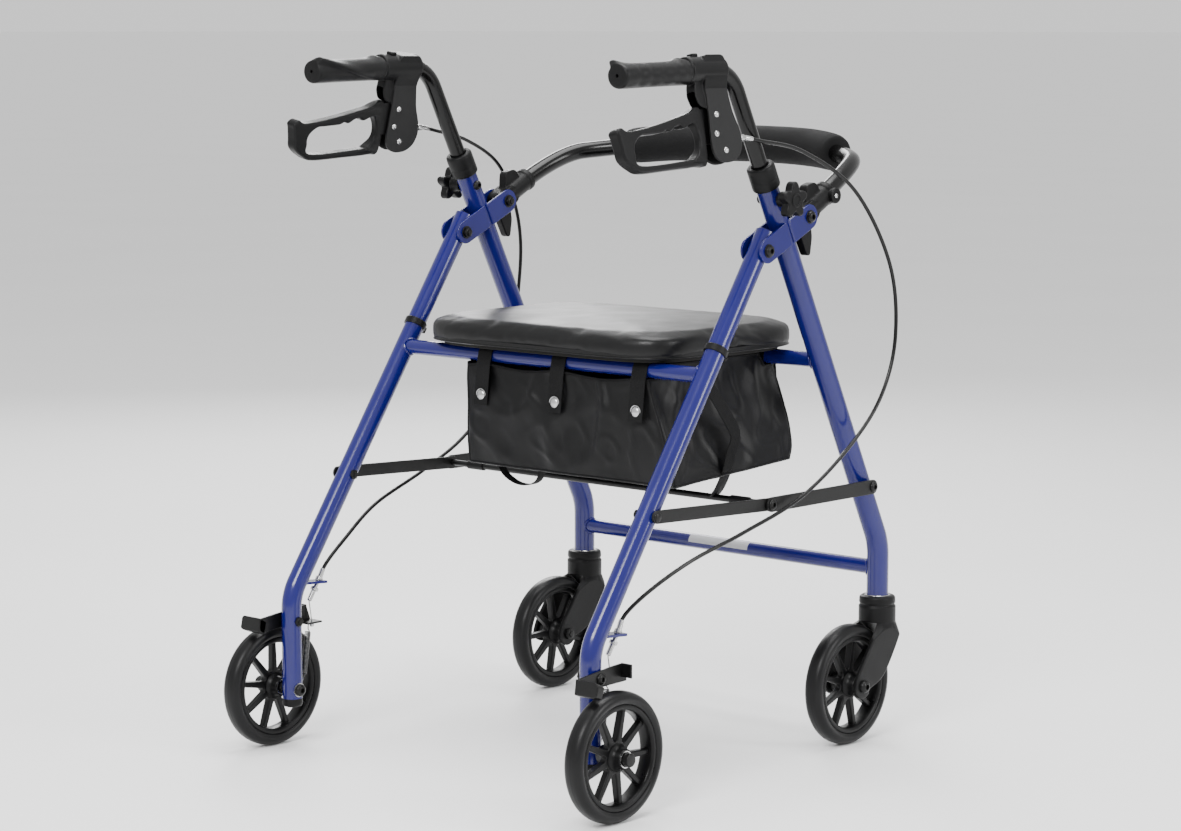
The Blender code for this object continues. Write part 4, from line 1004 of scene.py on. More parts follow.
# ---------------------------------------------------------------- handles
def handle_path(x):
    foot = (x, post_y(HANDLE_FOOT_Z), HANDLE_FOOT_Z)
    return rounded([foot, (x, *HANDLE_CORNER), (x, *HANDLE_END)], 0.05, 18)


def handle_z(y):
    """The height of the handle's level part at y."""
    share = (y - HANDLE_END[0]) / (HANDLE_CORNER[0] - HANDLE_END[0])
    return HANDLE_END[1] + share * (HANDLE_CORNER[1] - HANDLE_END[1])


def lean(obj, s):
    """Swings a piece made in the upright side plane about the handle's axis, outward at the bottom."""
    pivot = Vector((s * SIDE_X, 0, handle_z(SQUEEZE_PIVOT[0])))
    obj.matrix_world = Matrix.Translation(pivot) @ Matrix.Rotation(-s * SPLAY, 4, "Y")
    return bake(obj)


def leaning_point(s, y, height):
    """A point of the leaning plane in world axes."""
    base = handle_z(SQUEEZE_PIVOT[0])
    return Vector((s * SIDE_X - s * math.sin(SPLAY) * height, y, base + math.cos(SPLAY) * height))


GRIP_SECTIONS = (
    (-0.2188, 0.0146, 0.013, 0.0142),
    (-0.2165, 0.0156, 0.0136, 0.0149),
    (-0.205, 0.0158, 0.0136, 0.0151),
    (-0.19, 0.0156, 0.0134, 0.0151),
    (-0.17, 0.0152, 0.0131, 0.0151),
    (-0.145, 0.015, 0.013, 0.0152),
    (-0.125, 0.0152, 0.0132, 0.0154),
    (-0.11, 0.0152, 0.0136, 0.0156),
    (GRIP_FRONT_Y, 0.0156, 0.0142, 0.0158),
)


def grip_section(y):
    for a, b in zip(GRIP_SECTIONS, GRIP_SECTIONS[1:]):
        if y <= b[0]:
            t = (y - a[0]) / (b[0] - a[0])
            t = t * t * (3 - 2 * t)
            return [p + (q - p) * t for p, q in zip(a, b)]
    return GRIP_SECTIONS[-1]


def ledge(y, turn, s):
    """How far the palm ledge stands out: it starts high inboard at the rear and twists down to the front."""
    t = min(max((y + 0.2188) / 0.095, 0.0), 1.0)
    ridge = math.radians(52 - 100 * t)
    here = turn if s < 0 else math.pi - turn
    off = (here - ridge + math.pi) % math.tau - math.pi
    spread = 0.14 if off < 0 else 0.55
    tall = 0.0078 * (1 - t) ** 0.9 * min(1.0, (y + 0.22) / 0.004)
    return tall * math.exp(-(off / spread) ** 2)


def make_grip(side, s):
    """A moulded grip with finger humps below, a twisting palm ledge inboard, and a flat end."""
    x = s * SIDE_X
    rings = []
    count = 96
    sides = 96
    for step in range(count + 1):
        y = GRIP_SECTIONS[0][0] + (GRIP_FRONT_Y - GRIP_SECTIONS[0][0]) * step / count
        _, half, above, below = grip_section(y)
        fade = min(1.0, max(0.0, (y + 0.208) / 0.012)) * min(1.0, max(0.0, (-0.109 - y) / 0.006))
        ring = []
        for i in range(sides):
            turn = math.tau * i / sides
            c = math.cos(turn)
            w = math.sin(turn)
            wave = math.cos((y + 0.118) / 0.0215 * math.tau)
            outboard = max(0.0, c * s - 0.15)
            hump = 0.0005 * wave * fade * outboard
            nub = 0.003 * math.exp(-((y + 0.1165) / 0.0075) ** 2) * max(0.0, w) ** 8
            out = hump + nub + ledge(y, turn, s)
            tall = above if w > 0 else below
            ring.append((x + (half + out) * c, y, handle_z(y) + (tall + out) * w))
        rings.append(ring)
    end = rings[0]
    centre = Vector((x, GRIP_SECTIONS[0][0], handle_z(GRIP_SECTIONS[0][0])))
    caps = []
    for share, shift in ((0.13, 0.0035), (0.13, -0.0006), (0.16, -0.0012), (0.84, -0.0012), (0.95, -0.0005)):
        caps.append([centre + (Vector(p) - centre) * share + Vector((0, shift, 0)) for p in end])
    nose = Vector((x, GRIP_FRONT_Y, handle_z(GRIP_FRONT_Y)))
    tail = []
    for share, shift in ((0.95, 0.0012), (0.72, 0.002)):
        tail.append([nose + (Vector(p) - nose) * share + Vector((0, shift, 0)) for p in rings[-1]])
    grip = smooth(loft("grip", caps + rings + tail, GRIP), 50)
    stand_in(f"{side}_grip", [grip], f"{side}_handle")


HOUSING = [
    (-0.043, -0.008), (-0.0415, -0.026), (-0.0375, -0.051), (-0.029, -0.072), (-0.0275, -0.086),
    (-0.0335, -0.1), (-0.047, -0.1085), (-0.065, -0.11), (-0.0785, -0.105), (-0.084, -0.093),
    (-0.081, -0.05), (-0.08, -0.008),
]


def make_housing(side, s):
    """Two brake plates under a clamp on the handle tube, open behind for the lever."""
    body = outline("body", [soften(HOUSING, 0.006)], -0.008, 0.008, PLASTIC, 0.001)
    body = cut(body, box("slot", (-0.0058, -0.1, -0.12), (0.0058, -0.0455, -0.025), PLASTIC))
    guard_loop = [(-0.076, -0.013), (-0.096, -0.015), (-0.0985, -0.03), (-0.0935, -0.042), (-0.076, -0.048)]
    guard = outline("guard", [soften(guard_loop, 0.004)], -0.007, 0.007, PLASTIC, 0.001)
    guard = cut(guard, box("slot", (-0.0056, -0.1, -0.12), (0.0056, -0.0455, -0.025), PLASTIC))
    clamp = turned("clamp", [(0.0, 0.0), (0.0145, 0.0), (0.0158, 0.0008), (0.0163, 0.0022), (0.0163, 0.0618),
                             (0.0158, 0.0632),
                             (0.0145, 0.064), (0.0, 0.064)], PLASTIC, 56)
    aim(clamp, (0, -0.104, 0), (0, 1, 0))
    block_loop = [(-0.083, 0.006), (-0.08, 0.0165), (-0.046, 0.0165), (-0.042, 0.008), (-0.0415, -0.03),
                  (-0.082, -0.03)]
    block = outline("block", [soften(block_loop, 0.006)], -0.014, 0.014, PLASTIC, 0.001)
    shell = moulded("shell", [body, guard, clamp, block], 0.0008, 4, PLASTIC)
    for vertex in shell.data.vertices:
        co = vertex.co
        low = min(max((-0.006 - co.z) / 0.02, 0.0), 1.0)
        if abs(co.x) > 0.0088:
            co.x = math.copysign(0.0088 + (abs(co.x) - 0.0088) * (1 - low * low * (3 - 2 * low)), co.x)
    cheeks = []
    for way in (-1, 1):
        shape = [soften(HOUSING, 0.007)]
        cheeks.append(outline("cheek", shape, way * 0.007, way * 0.0092, PLATE_GREY, 0.0007))
        for y, height in ((-0.068, -0.053), (-0.0725, -0.0755), (-0.06, -0.095)):
            cheeks.append(rivet(way * 0.009, y, height, way, 0.0038, 0.0026))
    dome = aim(turned("barrel", [
        (0.0, 0.0205), (0.0024, 0.0205), (0.003, 0.02), (0.0031, 0.015), (0.0042, 0.0146), (0.0045, 0.0138),
        (0.0045, 0.009), (0.0042, 0.0082), (0.0034, 0.008), (0.0034, 0.0), (0.0, 0.0),
    ], ZINC, 28), (0, -0.03, -0.08), (0, 1, 0))
    thumb = box("thumb", (-0.005, -0.09, 0.015), (0.005, -0.08, 0.0195), PLASTIC, 0.0016)
    obj = lean(merge("housing", [shell, *cheeks, dome, thumb]), s)
    stand_in(f"{side}_brake_housing", [obj], f"{side}_handle")


def make_cam(side, s):
    cam = outline("cam", [stadium(PARK_PIVOT, SQUEEZE_PIVOT, 0.008)], s * 0.004 - 0.0014, s * 0.004 + 0.0014,
                  STEEL)
    pin = bar_x("pin", *PARK_PIVOT, -0.009, 0.009, 0.003, STEEL)
    stand_in(f"{side}_park_cam", [lean(merge("cam", [cam, pin]), s)], f"{side}_park_cam")


def make_lever(side, s):
    """The loop brake lever, with finger grooves under its top bar and a nub at its tip."""
    edge = [
        (-0.09, -0.0455), (-0.12, -0.0512), (-0.157, -0.059), (-0.191, -0.065), (-0.223, -0.0685),
        (-0.235, -0.064), (-0.243, -0.069), (-0.2415, -0.076), (-0.239, -0.088), (-0.236, -0.101),
        (-0.222, -0.111), (-0.205, -0.116), (-0.155, -0.114), (-0.111, -0.1115), (-0.09, -0.106),
    ]
    opening = [
        (-0.1, -0.076), (-0.108, -0.0625), (-0.1245, -0.0672), (-0.133, -0.064), (-0.141, -0.0655),
        (-0.15, -0.07), (-0.158, -0.0688), (-0.166, -0.0715), (-0.189, -0.073), (-0.203, -0.0745),
        (-0.215, -0.083), (-0.217, -0.094), (-0.208, -0.108), (-0.126, -0.104), (-0.112, -0.101),
        (-0.101, -0.09),
    ]
    loop = outline("loop", [flow(edge), flow(opening)], -0.0082, 0.0082, PLASTIC, 0.0034, 5)
    for vertex in loop.data.vertices:
        inside = min(max((vertex.co.y + 0.109) / 0.01, 0.0), 1.0)
        vertex.co.x *= 1 - 0.37 * inside * inside * (3 - 2 * inside)
    root_loop = [
        (-0.095, -0.046), (-0.072, -0.043), (-0.06, -0.045), (-0.057, -0.053), (-0.06, -0.078),
        (-0.072, -0.086), (-0.095, -0.086),
    ]
    root = outline("root", [soften(root_loop, 0.004)], -s * 0.0053, s * 0.002, PLASTIC)
    stand_in(f"{side}_brake_lever", [lean(merge("lever", [loop, root]), s)], f"{side}_lever")


def make_knob(side, s):
    """The five-lobed height knob with its dished centre, hub and stud."""
    y = post_y(KNOB_Z)
    loop = []
    for i in range(120):
        turn = math.tau * i / 120
        lobe = math.cos(5 * turn)
        radius = 0.0186 + 0.0048 * lobe * (0.8 if lobe > 0 else 1.0)
        loop.append((y + radius * math.sin(turn), KNOB_Z + radius * math.cos(turn)))
    star = outline("star", [loop], s * 0.2765, s * 0.2895, PLASTIC, 0.0026, 4)
    dish = [(0.0, 0.0002), (0.0058, 0.0002), (0.0062, 0.001), (0.0076, 0.0012), (0.0084, 0.0006),
            (0.0086, -0.001), (0.0, -0.001)]
    cap = turned_x("cap", dish, s * 0.2895, y, KNOB_Z, s, PLASTIC)
    start = s * (SIDE_X + POST_RADIUS + 0.0004)
    length = abs(s * 0.2775 - start)
    hub = [(0.0, length), (0.0115, length), (0.0096, length - 0.003), (0.009, 0.002), (0.0088, 0.001),
           (0.008, 0.0)]
    hub = turned_x("hub", hub, start, y, KNOB_Z, s, PLASTIC)
    stud = bar_x("stud", y, KNOB_Z, s * (SIDE_X + HANDLE_RADIUS + 0.0005), s * 0.27, 0.003, ZINC)
    stand_in(f"{side}_height_knob", [star, cap, hub, stud], f"{side}_knob")


def make_handle(side, s):
    tube = pipe("tube", handle_path(s * SIDE_X), HANDLE_RADIUS, GLOSS)
    stand_in(f"{side}_handle_tube", [tube], f"{side}_handle")
    make_grip(side, s)
    make_housing(side, s)
    make_cam(side, s)
    make_lever(side, s)
    make_knob(side, s)


# ---------------------------------------------------------------- seat
def seat_loop(inset, count=96):
    """The seat's outline: rounded corners, sides that bow out."""
    half = SEAT_HALF_WIDTH - inset
    middle = (SEAT_REAR_Y + SEAT_FRONT_Y) / 2
    depth = (SEAT_FRONT_Y - SEAT_REAR_Y) / 2 - inset
    loop = []
    for i in range(count):
        turn = math.tau * i / count
        c = math.cos(turn)
        w = math.sin(turn)
        loop.append((half * math.copysign(abs(c) ** 0.36, c), middle + depth * math.copysign(abs(w) ** 0.36,
                w)))
    return loop


def slab(name, loop, z0, z1, look, bevel, detail=2):
    """A level plate between the heights z0 and z1."""
    obj = flat_shape(name, [loop], z1 - z0, look, bevel, detail)
    obj.location = (0, 0, (z0 + z1) / 2)
    bpy.context.view_layer.update()
    return smooth(bake(to_mesh(obj)))


def inflate(obj, pressure, frames, cap, floor_z, top_z):
    """Blows the pad up with cloth pressure, and keeps every point near its place and above the board."""
    rest = [v.co.copy() for v in obj.data.vertices]
    cloth = obj.modifiers.new("cloth", "CLOTH")
    cloth.settings.use_pressure = True
    cloth.settings.uniform_pressure_force = pressure
    cloth.settings.effector_weights.gravity = 0.0
    cloth.settings.quality = 5
    cloth.point_cache.frame_start = 1
    cloth.point_cache.frame_end = frames
    for step in range(1, frames + 1):
        scene.frame_set(step)
    graph = bpy.context.evaluated_depsgraph_get()
    blown = [v.co.copy() for v in obj.evaluated_get(graph).data.vertices]
    obj.modifiers.remove(cloth)
    for vertex, before, after in zip(obj.data.vertices, rest, blown):
        move = after - before
        if move.length > cap:
            move = move.normalized() * cap
        target = before + move
        target.z = min(max(target.z, floor_z), top_z)
        vertex.co = target
    scene.frame_set(1)


def make_seat():
    """A board on the two seat tubes, and a crowned vinyl pad with a piped seam round its foot."""
    tube_top = SEAT_TUBE_Z + CROSS_RADIUS
    board = slab("board", seat_loop(0.012), tube_top + GAP, SEAT_BASE_TOP, BOARD, 0.001)
    screws = []
    for _, s in SIDES:
        for y in (-0.055, 0.15):
            head = turned("screw", [(0.0, 0.0), (0.004, 0.0), (0.0038, -0.0012), (0.0014, -0.0016),
                                    (0.0012, -0.0006),
                                    (0.0, -0.0006)], ZINC, 24)
            screws.append(aim(head, (s * 0.15, y, tube_top + GAP), (0, 0, 1)))
    stand_in("seat_base", [board, *screws], "seat")
    pad = slab("pad", seat_loop(0.003, 160), SEAT_BASE_TOP - 0.006, SEAT_PAD_TOP - 0.0045, VINYL, 0.0105, 6)
    remesh = pad.modifiers.new("even", "REMESH")
    remesh.mode = "VOXEL"
    remesh.voxel_size = 0.0036
    pad = to_mesh(pad)
    inflate(pad, 3.0, 16, 0.0035, SEAT_BASE_TOP + GAP, SEAT_PAD_TOP + 0.003)
    ease = pad.modifiers.new("ease", "SMOOTH")
    ease.factor = 0.5
    ease.iterations = 4
    pad = to_mesh(pad)
    middle_y = (SEAT_REAR_Y + SEAT_FRONT_Y) / 2
    half_depth = (SEAT_FRONT_Y - SEAT_REAR_Y) / 2
    wide = max(abs(v.co.x) for v in pad.data.vertices)
    deep = max(abs(v.co.y - middle_y) for v in pad.data.vertices)
    high = max(v.co.z for v in pad.data.vertices) - SEAT_BASE_TOP
    for vertex in pad.data.vertices:
        co = vertex.co
        co.x *= (SEAT_HALF_WIDTH - 0.0004) / wide
        co.y = middle_y + (co.y - middle_y) * (half_depth - 0.0004) / deep
        share = max(co.z - SEAT_BASE_TOP, 0.0) / high
        edge = min(max(abs(co.x) / SEAT_HALF_WIDTH, abs(co.y - middle_y) / half_depth), 1.0)
        crown = 0.004 * (1 - edge ** 2.4) * share ** 2
        ripple = 0.0005 * noise.noise(Vector((co.x * 15, co.y * 15, 3.1)))
        ripple += 0.0002 * noise.noise(Vector((co.x * 48, co.y * 48, 8.7)))
        corner = (abs(co.x) / SEAT_HALF_WIDTH) ** 7 * (abs(co.y - middle_y) / half_depth) ** 7
        pucker = 0.0006 * corner * math.sin(math.atan2(co.y - middle_y, abs(co.x)) * 70)
        level = SEAT_BASE_TOP + GAP + share * (SEAT_PAD_TOP - SEAT_BASE_TOP - 0.003)
        co.z = level + crown + (ripple + pucker) * share
    pad.data.shade_smooth()
    stand_in("seat_pad", [pad], "seat")
    outer = seat_loop(0.0014)
    inner = seat_loop(0.0034)
    rings = []
    for loop, z in ((outer, SEAT_BASE_TOP + 0.004), (outer, SEAT_BASE_TOP - 0.002),
                    (inner, SEAT_BASE_TOP - 0.003)):
        rings.append([(px, py, z) for px, py in loop])
    skirt = place("skirt", skin_of("skirt", rings, True), VINYL)
    wall = skirt.modifiers.new("thick", "SOLIDIFY")
    wall.thickness = 0.001
    wall.offset = -1
    welt = rod("welt", [(px, py, SEAT_BASE_TOP - 0.0014) for px, py in seat_loop(0.0014, 200)], 0.0009, VINYL,
               10, closed=True)
    piece("seat_skirt", [smooth(to_mesh(skirt), 50), welt], "seat")


# ---------------------------------------------------------------- bag
REAR_WALL = leg_y(SEAT_TUBE_Z) - CROSS_RADIUS
FRONT_WALL = post_y(SEAT_TUBE_Z) + CROSS_RADIUS
BAG_LEVELS = (
    (0.48, REAR_WALL - 0.001, FRONT_WALL + 0.0005, 0.1505, 0.0195),
    (0.46, REAR_WALL - 0.0024, FRONT_WALL - 0.001, 0.1545, 0.024),
    (0.42, REAR_WALL - 0.0034, FRONT_WALL - 0.004, 0.162, 0.033),
    (0.38, REAR_WALL - 0.002, FRONT_WALL - 0.01, 0.169, 0.039),
    (0.354, REAR_WALL + 0.001, FRONT_WALL - 0.016, 0.17, 0.04),
)
STRAPS = (-0.098, 0.026, 0.157)


def bag_level(t):
    """(z, rear, front, half width, middle x) at share t down the wall."""
    place_on = t * (len(BAG_LEVELS) - 1)
    i = min(int(place_on), len(BAG_LEVELS) - 2)
    f = place_on - i
    p0, p1, p2, p3 = (BAG_LEVELS[min(max(i + k, 0), len(BAG_LEVELS) - 1)] for k in (-1, 0, 1, 2))
    return [
        0.5 * (2 * b + (c - a) * f + (2 * a - 5 * b + 4 * c - d) * f * f + (3 * b - a - 3 * c + d) * f ** 3)
        for a, b, c, d in zip(p0, p1, p2, p3)
    ]


def crease(x, y, z, seed):
    """Angular folds: the ridges of a coarse noise field, sharpened."""
    field = noise.noise(Vector((x * 12 + z * 9, y * 12 - z * 6, z * 7 - x * 8 + y * 5 + seed)))
    ridge = 1.0 - min(abs(field) * 4.0, 1.0)
    return ridge * ridge * (3 - 2 * ridge)


def bag_outline(u):
    """At share u round the bag: its side's number, the point, the way out, and the room to a corner."""
    way = int(u * 4) % 4
    along = u * 8 - int(u * 4) * 2 - 1
    corner = 0.05
    turn = max(abs(along) - 1 + corner, 0.0) / corner * math.pi / 4
    across = 1 - corner + corner * math.cos(turn)
    reach = math.copysign(min(abs(along), 1 - corner) + corner * math.sin(turn), along)
    lean = math.copysign(math.sin(turn), along)
    point = ((across, reach), (-reach, across), (-across, -reach), (reach, -across))[way]
    out = ((math.cos(turn), lean), (-lean, math.cos(turn)), (-math.cos(turn), -lean),
           (lean, -math.cos(turn)))[way]
    return way, point, out, min((1 - abs(along)) / 0.14, 1.0)


def bag_point(u, t):
    """A point of the bag's skin: u runs round it, t down it from the rim at 0 to the bottom's edge at 1."""
    way, (across, deep), out, edge = bag_outline(u % 1.0)
    z, rear, front, half, centre = bag_level(min(t, 1.0))
    shrink = max(0.0, 1.0 - max(t - 1.0, 0.0))
    x = centre + half * across * shrink
    y = (rear + front) / 2 + (front - rear) / 2 * deep * shrink
    z += 0.014 * min(t, 1.0) ** 3 * (y - REAR_WALL) / (FRONT_WALL - REAR_WALL)
    sag = math.sin(min(t, 1.0) * math.pi)
    folds = 0.0036 * (crease(x, y, z, 0.3) - 0.35)
    folds += 0.0012 * (crease(x * 1.9 + 0.4, y * 1.9, z * 2.2, 4.1) - 0.35)
    folds += 0.0042 * noise.noise(Vector((x * 11, y * 11, z * 9)))
    pull = 0.0
    rim = max(0.0, 1 - t * 3.0)
    if way == 3:
        near = min(abs(x - strap) for strap in STRAPS)
        pull = -0.0035 * (1 - math.exp(-(near / 0.03) ** 2)) * max(0.0, 1 - t * 2.4)
        z -= 0.005 * (1 - math.exp(-(near / 0.034) ** 2)) * rim
    elif way == 1:
        z -= 0.004 * rim
    else:
        room = min(abs(y - leg_y(SEAT_TUBE_Z)), abs(y - post_y(SEAT_TUBE_Z))) - CROSS_RADIUS
        if leg_y(SEAT_TUBE_Z) < y < post_y(SEAT_TUBE_Z):
            z += 0.016 * min(max(room - 0.003, 0.0) / 0.01, 1.0) * rim
        pull = -0.006 * sag
    if t > 1.0:
        z -= 0.008 * math.sin((1 - shrink) * math.pi / 2) + 0.003 * noise.noise(Vector((x * 14, y * 14, 1.7)))
        return Vector((x, y, z - folds * min((t - 1.0) * 4, 1.0) * 0.5))
    depth = folds * (0.15 + 0.85 * edge) * (0.3 + sag) + pull * edge
    return Vector((x + out[0] * depth, y + out[1] * depth, z))


def make_bag():
    """An open-topped nylon bag that hangs from the two seat tubes by straps, sagging between them."""
    around = 320
    ts = [i / 44 for i in range(45)] + [1.0 + i / 14 for i in range(1, 14)]
    rings = [[bag_point(i / around, t) for i in range(around)] for t in ts]
    bag = place("bag_cloth", skin_of("bag", rings, True, high=True), NYLON)
    wall = bag.modifiers.new("cloth", "SOLIDIFY")
    wall.thickness = 0.0011
    wall.offset = -1
    bag = to_mesh(bag)
    bag.data.shade_smooth()
    hem = rod("hem", [bag_point(i / 320, 0.0) for i in range(320)], 0.0016, WEBBING, 10, closed=True)
    seam = rod("seam", [bag_point(i / 320, 0.985) for i in range(320)], 0.0015, NYLON, 8, closed=True)
    binding = []
    for corner in (0.0, 0.25, 0.5, 0.75):
        binding.append(rod("binding", [bag_point(corner, i / 24) for i in range(25)], 0.0015, NYLON, 8))
    obj = merge("bag_shown", [bag, hem, seam, *binding])
    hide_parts("bag")
    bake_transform(obj)
    for y, way, body, label in ((leg_y(SEAT_TUBE_Z), -1, "rear_frame", "rear"),
                                (post_y(SEAT_TUBE_Z), 1, "front_frame", "front")):
        parts = []
        for x in STRAPS:
            wrap = CROSS_RADIUS + 0.0012
            path = [(x, y - way * (wrap + 0.0005), 0.47), (x, y - way * wrap, 0.483)]
            for step in range(13):
                turn = math.pi - math.pi * step / 12
                path.append((x, y + way * wrap * math.cos(turn), SEAT_TUBE_Z + wrap * math.sin(turn)))
            for z in (0.48, 0.47, 0.46, 0.445, 0.43):
                share = (SEAT_TUBE_Z - z) / 0.061
                path.append((x, y + way * (wrap + 0.0018 + 0.007 * share), z))
            parts.append(ribbon("strap", path, (1, 0, 0), 0.023, 0.0013, WEBBING))
            outer = y + way * (wrap + 0.0085)
            snap = rivet(0.0, 0.0, 0.0, 1, 0.0066, 0.003)
            turn = Matrix.Rotation(way * math.pi / 2, 4, "Z")
            snap.matrix_world = Matrix.Translation((x, outer - way * 0.0012, SNAP_Z)) @ turn
            parts.append(bake(snap))
            ring = [(rx, outer - way * 0.001, rz) for rx, rz in circle(x, SNAP_Z, 0.0076, 24)]
            parts.append(rod("rim", ring, 0.0007, ZINC, 8, closed=True))
        piece(f"bag_{label}_straps", parts, body)
    loop = [(-0.084, -0.06, 0.356), (-0.077, -0.057, 0.342), (-0.062, -0.052, 0.332), (-0.044, -0.05, 0.331),
            (-0.028, -0.05, 0.338), (-0.02, -0.05, 0.354)]
    tie = ribbon("tie", through_points(loop, 0.003), (0, 1, 0), 0.012, 0.0012, WEBBING)
    side_line = [(0.209, -0.005, 0.47), (0.212, 0.018, 0.44), (0.213, 0.04, 0.408), (0.2125, 0.033, 0.386),
                 (0.211, 0.027, 0.366), (0.196, 0.033, 0.344), (0.181, 0.04, 0.33)]
    web = ribbon("web", through_points(side_line, 0.004), (0, 1, 0), 0.018, 0.0013, WEBBING)
    extras = merge("bag_webbing", [tie, web])
    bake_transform(extras)


# ---------------------------------------------------------------- backrest
def backrest_points():
    """The backrest tube's corners from the right socket round to the left one."""
    right = [
        (SIDE_X, 0.124, 0.6745),
        (SIDE_X, 0.225, 0.728),
        (0.198, 0.279, 0.7365),
        (0.1, 0.3175, 0.746),
    ]
    return right + [(-x, y, z) for x, y, z in right[::-1]]


def smooth_path(points, count):
    """Points evenly along a quadratic B-spline through the control points' middles, ends kept."""
    points = [Vector(p) for p in points]
    starts = [points[0]] + [(a + b) / 2 for a, b in zip(points[1:], points[2:-1])] + [points[-1]]
    path = []
    for i, control in enumerate(points[1:-1]):
        a = starts[i]
        b = starts[i + 1]
        for step in range(count):
            t = step / count
            path.append(a * (1 - t) ** 2 + control * 2 * t * (1 - t) + b * t * t)
    path.append(points[-1])
    return path


def make_backrest():
    """The bent tube, its foam sleeve with round ends, and the two sockets."""
    path = smooth_path(backrest_points(), 16)
    tube = rod("tube", path, 0.011, GLOSS, 36)
    stand_in("backrest_tube", [tube], "backrest")
    inside = [p for p in path if abs(p.x) < 0.176]
    lengths = [0.0]
    for a, b in zip(inside, inside[1:]):
        lengths.append(lengths[-1] + (b - a).length)
    rings = []
    for i, point in enumerate(inside):
        ahead = (inside[min(i + 1, len(inside) - 1)] - inside[max(i - 1, 0)]).normalized()
        up = Vector((0, 0, 1))
        wide = up.cross(ahead).normalized()
        high = ahead.cross(wide)
        end = min(lengths[i], lengths[-1] - lengths[i])
        radius = 0.024 - 0.0022 * math.exp(-end / 0.006)
        ring = []
        for k in range(48):
            turn = math.tau * k / 48
            bulge = 0.0005 * noise.noise(point * 24 + Vector((math.cos(turn), math.sin(turn), 0)))
            ring.append(point + (wide * math.cos(turn) + high * math.sin(turn)) * (radius + bulge))
        rings.append(ring)
    ends = []
    for ring, centre, step in ((rings[0], inside[0], inside[0] - inside[1]),
                               (rings[-1], inside[-1], inside[-1] - inside[-2])):
        out = step.normalized()
        ends.append([[centre + (Vector(p) - centre) * share + out * reach for p in ring] for share,
                     reach in ((0.95, 0.0012), (0.82, 0.0018), (0.48, 0.0018))])
    foam = smooth(loft("foam", ends[0][::-1] + rings + ends[1], FOAM), 60)
    stand_in("backrest_pad", [foam], "backrest")
    for side, s in SIDES:
        make_socket(side, s)


def make_socket(side, s):
    """The end socket: a barrel round the tube, a latch tab above and its tail below."""
    x = s * SIDE_X
    pivot_y, pivot_z = BACK_PIVOT
    along = Vector((0, 0.101, 0.0535)).normalized()
    start = Vector((x, pivot_y, pivot_z)) - along * 0.013
    half = 0.0124
    body = outline("body", [stadium(BACK_PIVOT, (pivot_y + 0.013, pivot_z + 0.0069), 0.0122)], x - half,
                   x + half, PLASTIC)
    barrel = aim(turned("barrel", [
        (0.0, 0.0), (0.0134, 0.0), (0.0138, 0.0006), (0.0138, 0.033), (0.015, 0.0345), (0.0152, 0.036),
        (0.0152, 0.0405), (0.0148, 0.0418), (0.013, 0.0424), (0.0, 0.0424),
    ], PLASTIC, 48), start + along * 0.03, along)
    tab_loop = [(0.119, 0.676), (0.144, 0.686), (0.1465, 0.704), (0.138, 0.711), (0.121, 0.707)]
    tab = outline("tab", [soften(tab_loop, 0.005)], x - 0.0062, x + 0.0062, PLASTIC, 0.001)
    tail_loop = [(0.105, 0.664), (0.13, 0.665), (0.1335, 0.644), (0.13, 0.622), (0.124, 0.622),
                 (0.113, 0.642)]
    tail = outline("tail", [soften(tail_loop, 0.004)], x - 0.0058, x + 0.0058, PLASTIC, 0.001)
    shell = moulded("shell", [body, barrel, tab, tail], 0.00085, 3, PLASTIC)
    cap = [(0.0, 0.0084), (0.0046, 0.0084), (0.005, 0.009), (0.0078, 0.009), (0.0092, 0.0082),
           (0.0096, 0.0066), (0.0096, 0.0)]
    knob = turned_x("knob", cap, x + s * 0.01, 0.164, 0.6935, s, PLASTIC)
    screw = rivet(x + s * 0.0182, 0.164, 0.6935, s, 0.003, 0.0012)
    stand_in(f"{side}_backrest_socket", [shell, knob, screw], "backrest")


# ---------------------------------------------------------------- brake cables
CABLE_ROUTES = {
    "right": (
        (0.269, 0.015, 0.764),
        (0.275, 0.09, 0.749),
        (0.283, 0.182, 0.699),
        (0.286, 0.25, 0.608),
        (0.286, 0.265, 0.519),
        (0.285, 0.24, 0.446),
        (0.283, 0.18, 0.388),
        (0.281, 0.085, 0.334),
        (0.279, -0.025, 0.303),
        (0.271, -0.11, 0.28),
        (0.259, -0.17, 0.252),
    ),
    "left": (
        (-0.269, 0.015, 0.764),
        (-0.275, 0.078, 0.75),
        (-0.282, 0.143, 0.719),
        (-0.285, 0.178, 0.67),
        (-0.286, 0.193, 0.618),
        (-0.286, 0.191, 0.56),
        (-0.286, 0.175, 0.48),
        (-0.284, 0.135, 0.405),
        (-0.282, 0.075, 0.355),
        (-0.279, -0.003, 0.32),
        (-0.271, -0.097, 0.288),
        (-0.259, -0.165, 0.251),
    ),
}


def through_points(points, spacing):
    """A smooth curve through the points, read off at about the given spacing."""
    points = [Vector(p) for p in points]
    ends = [points[0] * 2 - points[1]] + points + [points[-1] * 2 - points[-2]]
    path = []
    for p0, p1, p2, p3 in zip(ends, ends[1:], ends[2:], ends[3:]):
        steps = max(2, round((p2 - p1).length / spacing))
        for step in range(steps):
            t = step / steps
            curve = (2 * p0 - 5 * p1 + 4 * p2 - p3) * t ** 2 + (3 * p1 - p0 - 3 * p2 + p3) * t ** 3
            path.append(0.5 * (2 * p1 + (p2 - p0) * t + curve))
    path.append(points[-1])
    return path


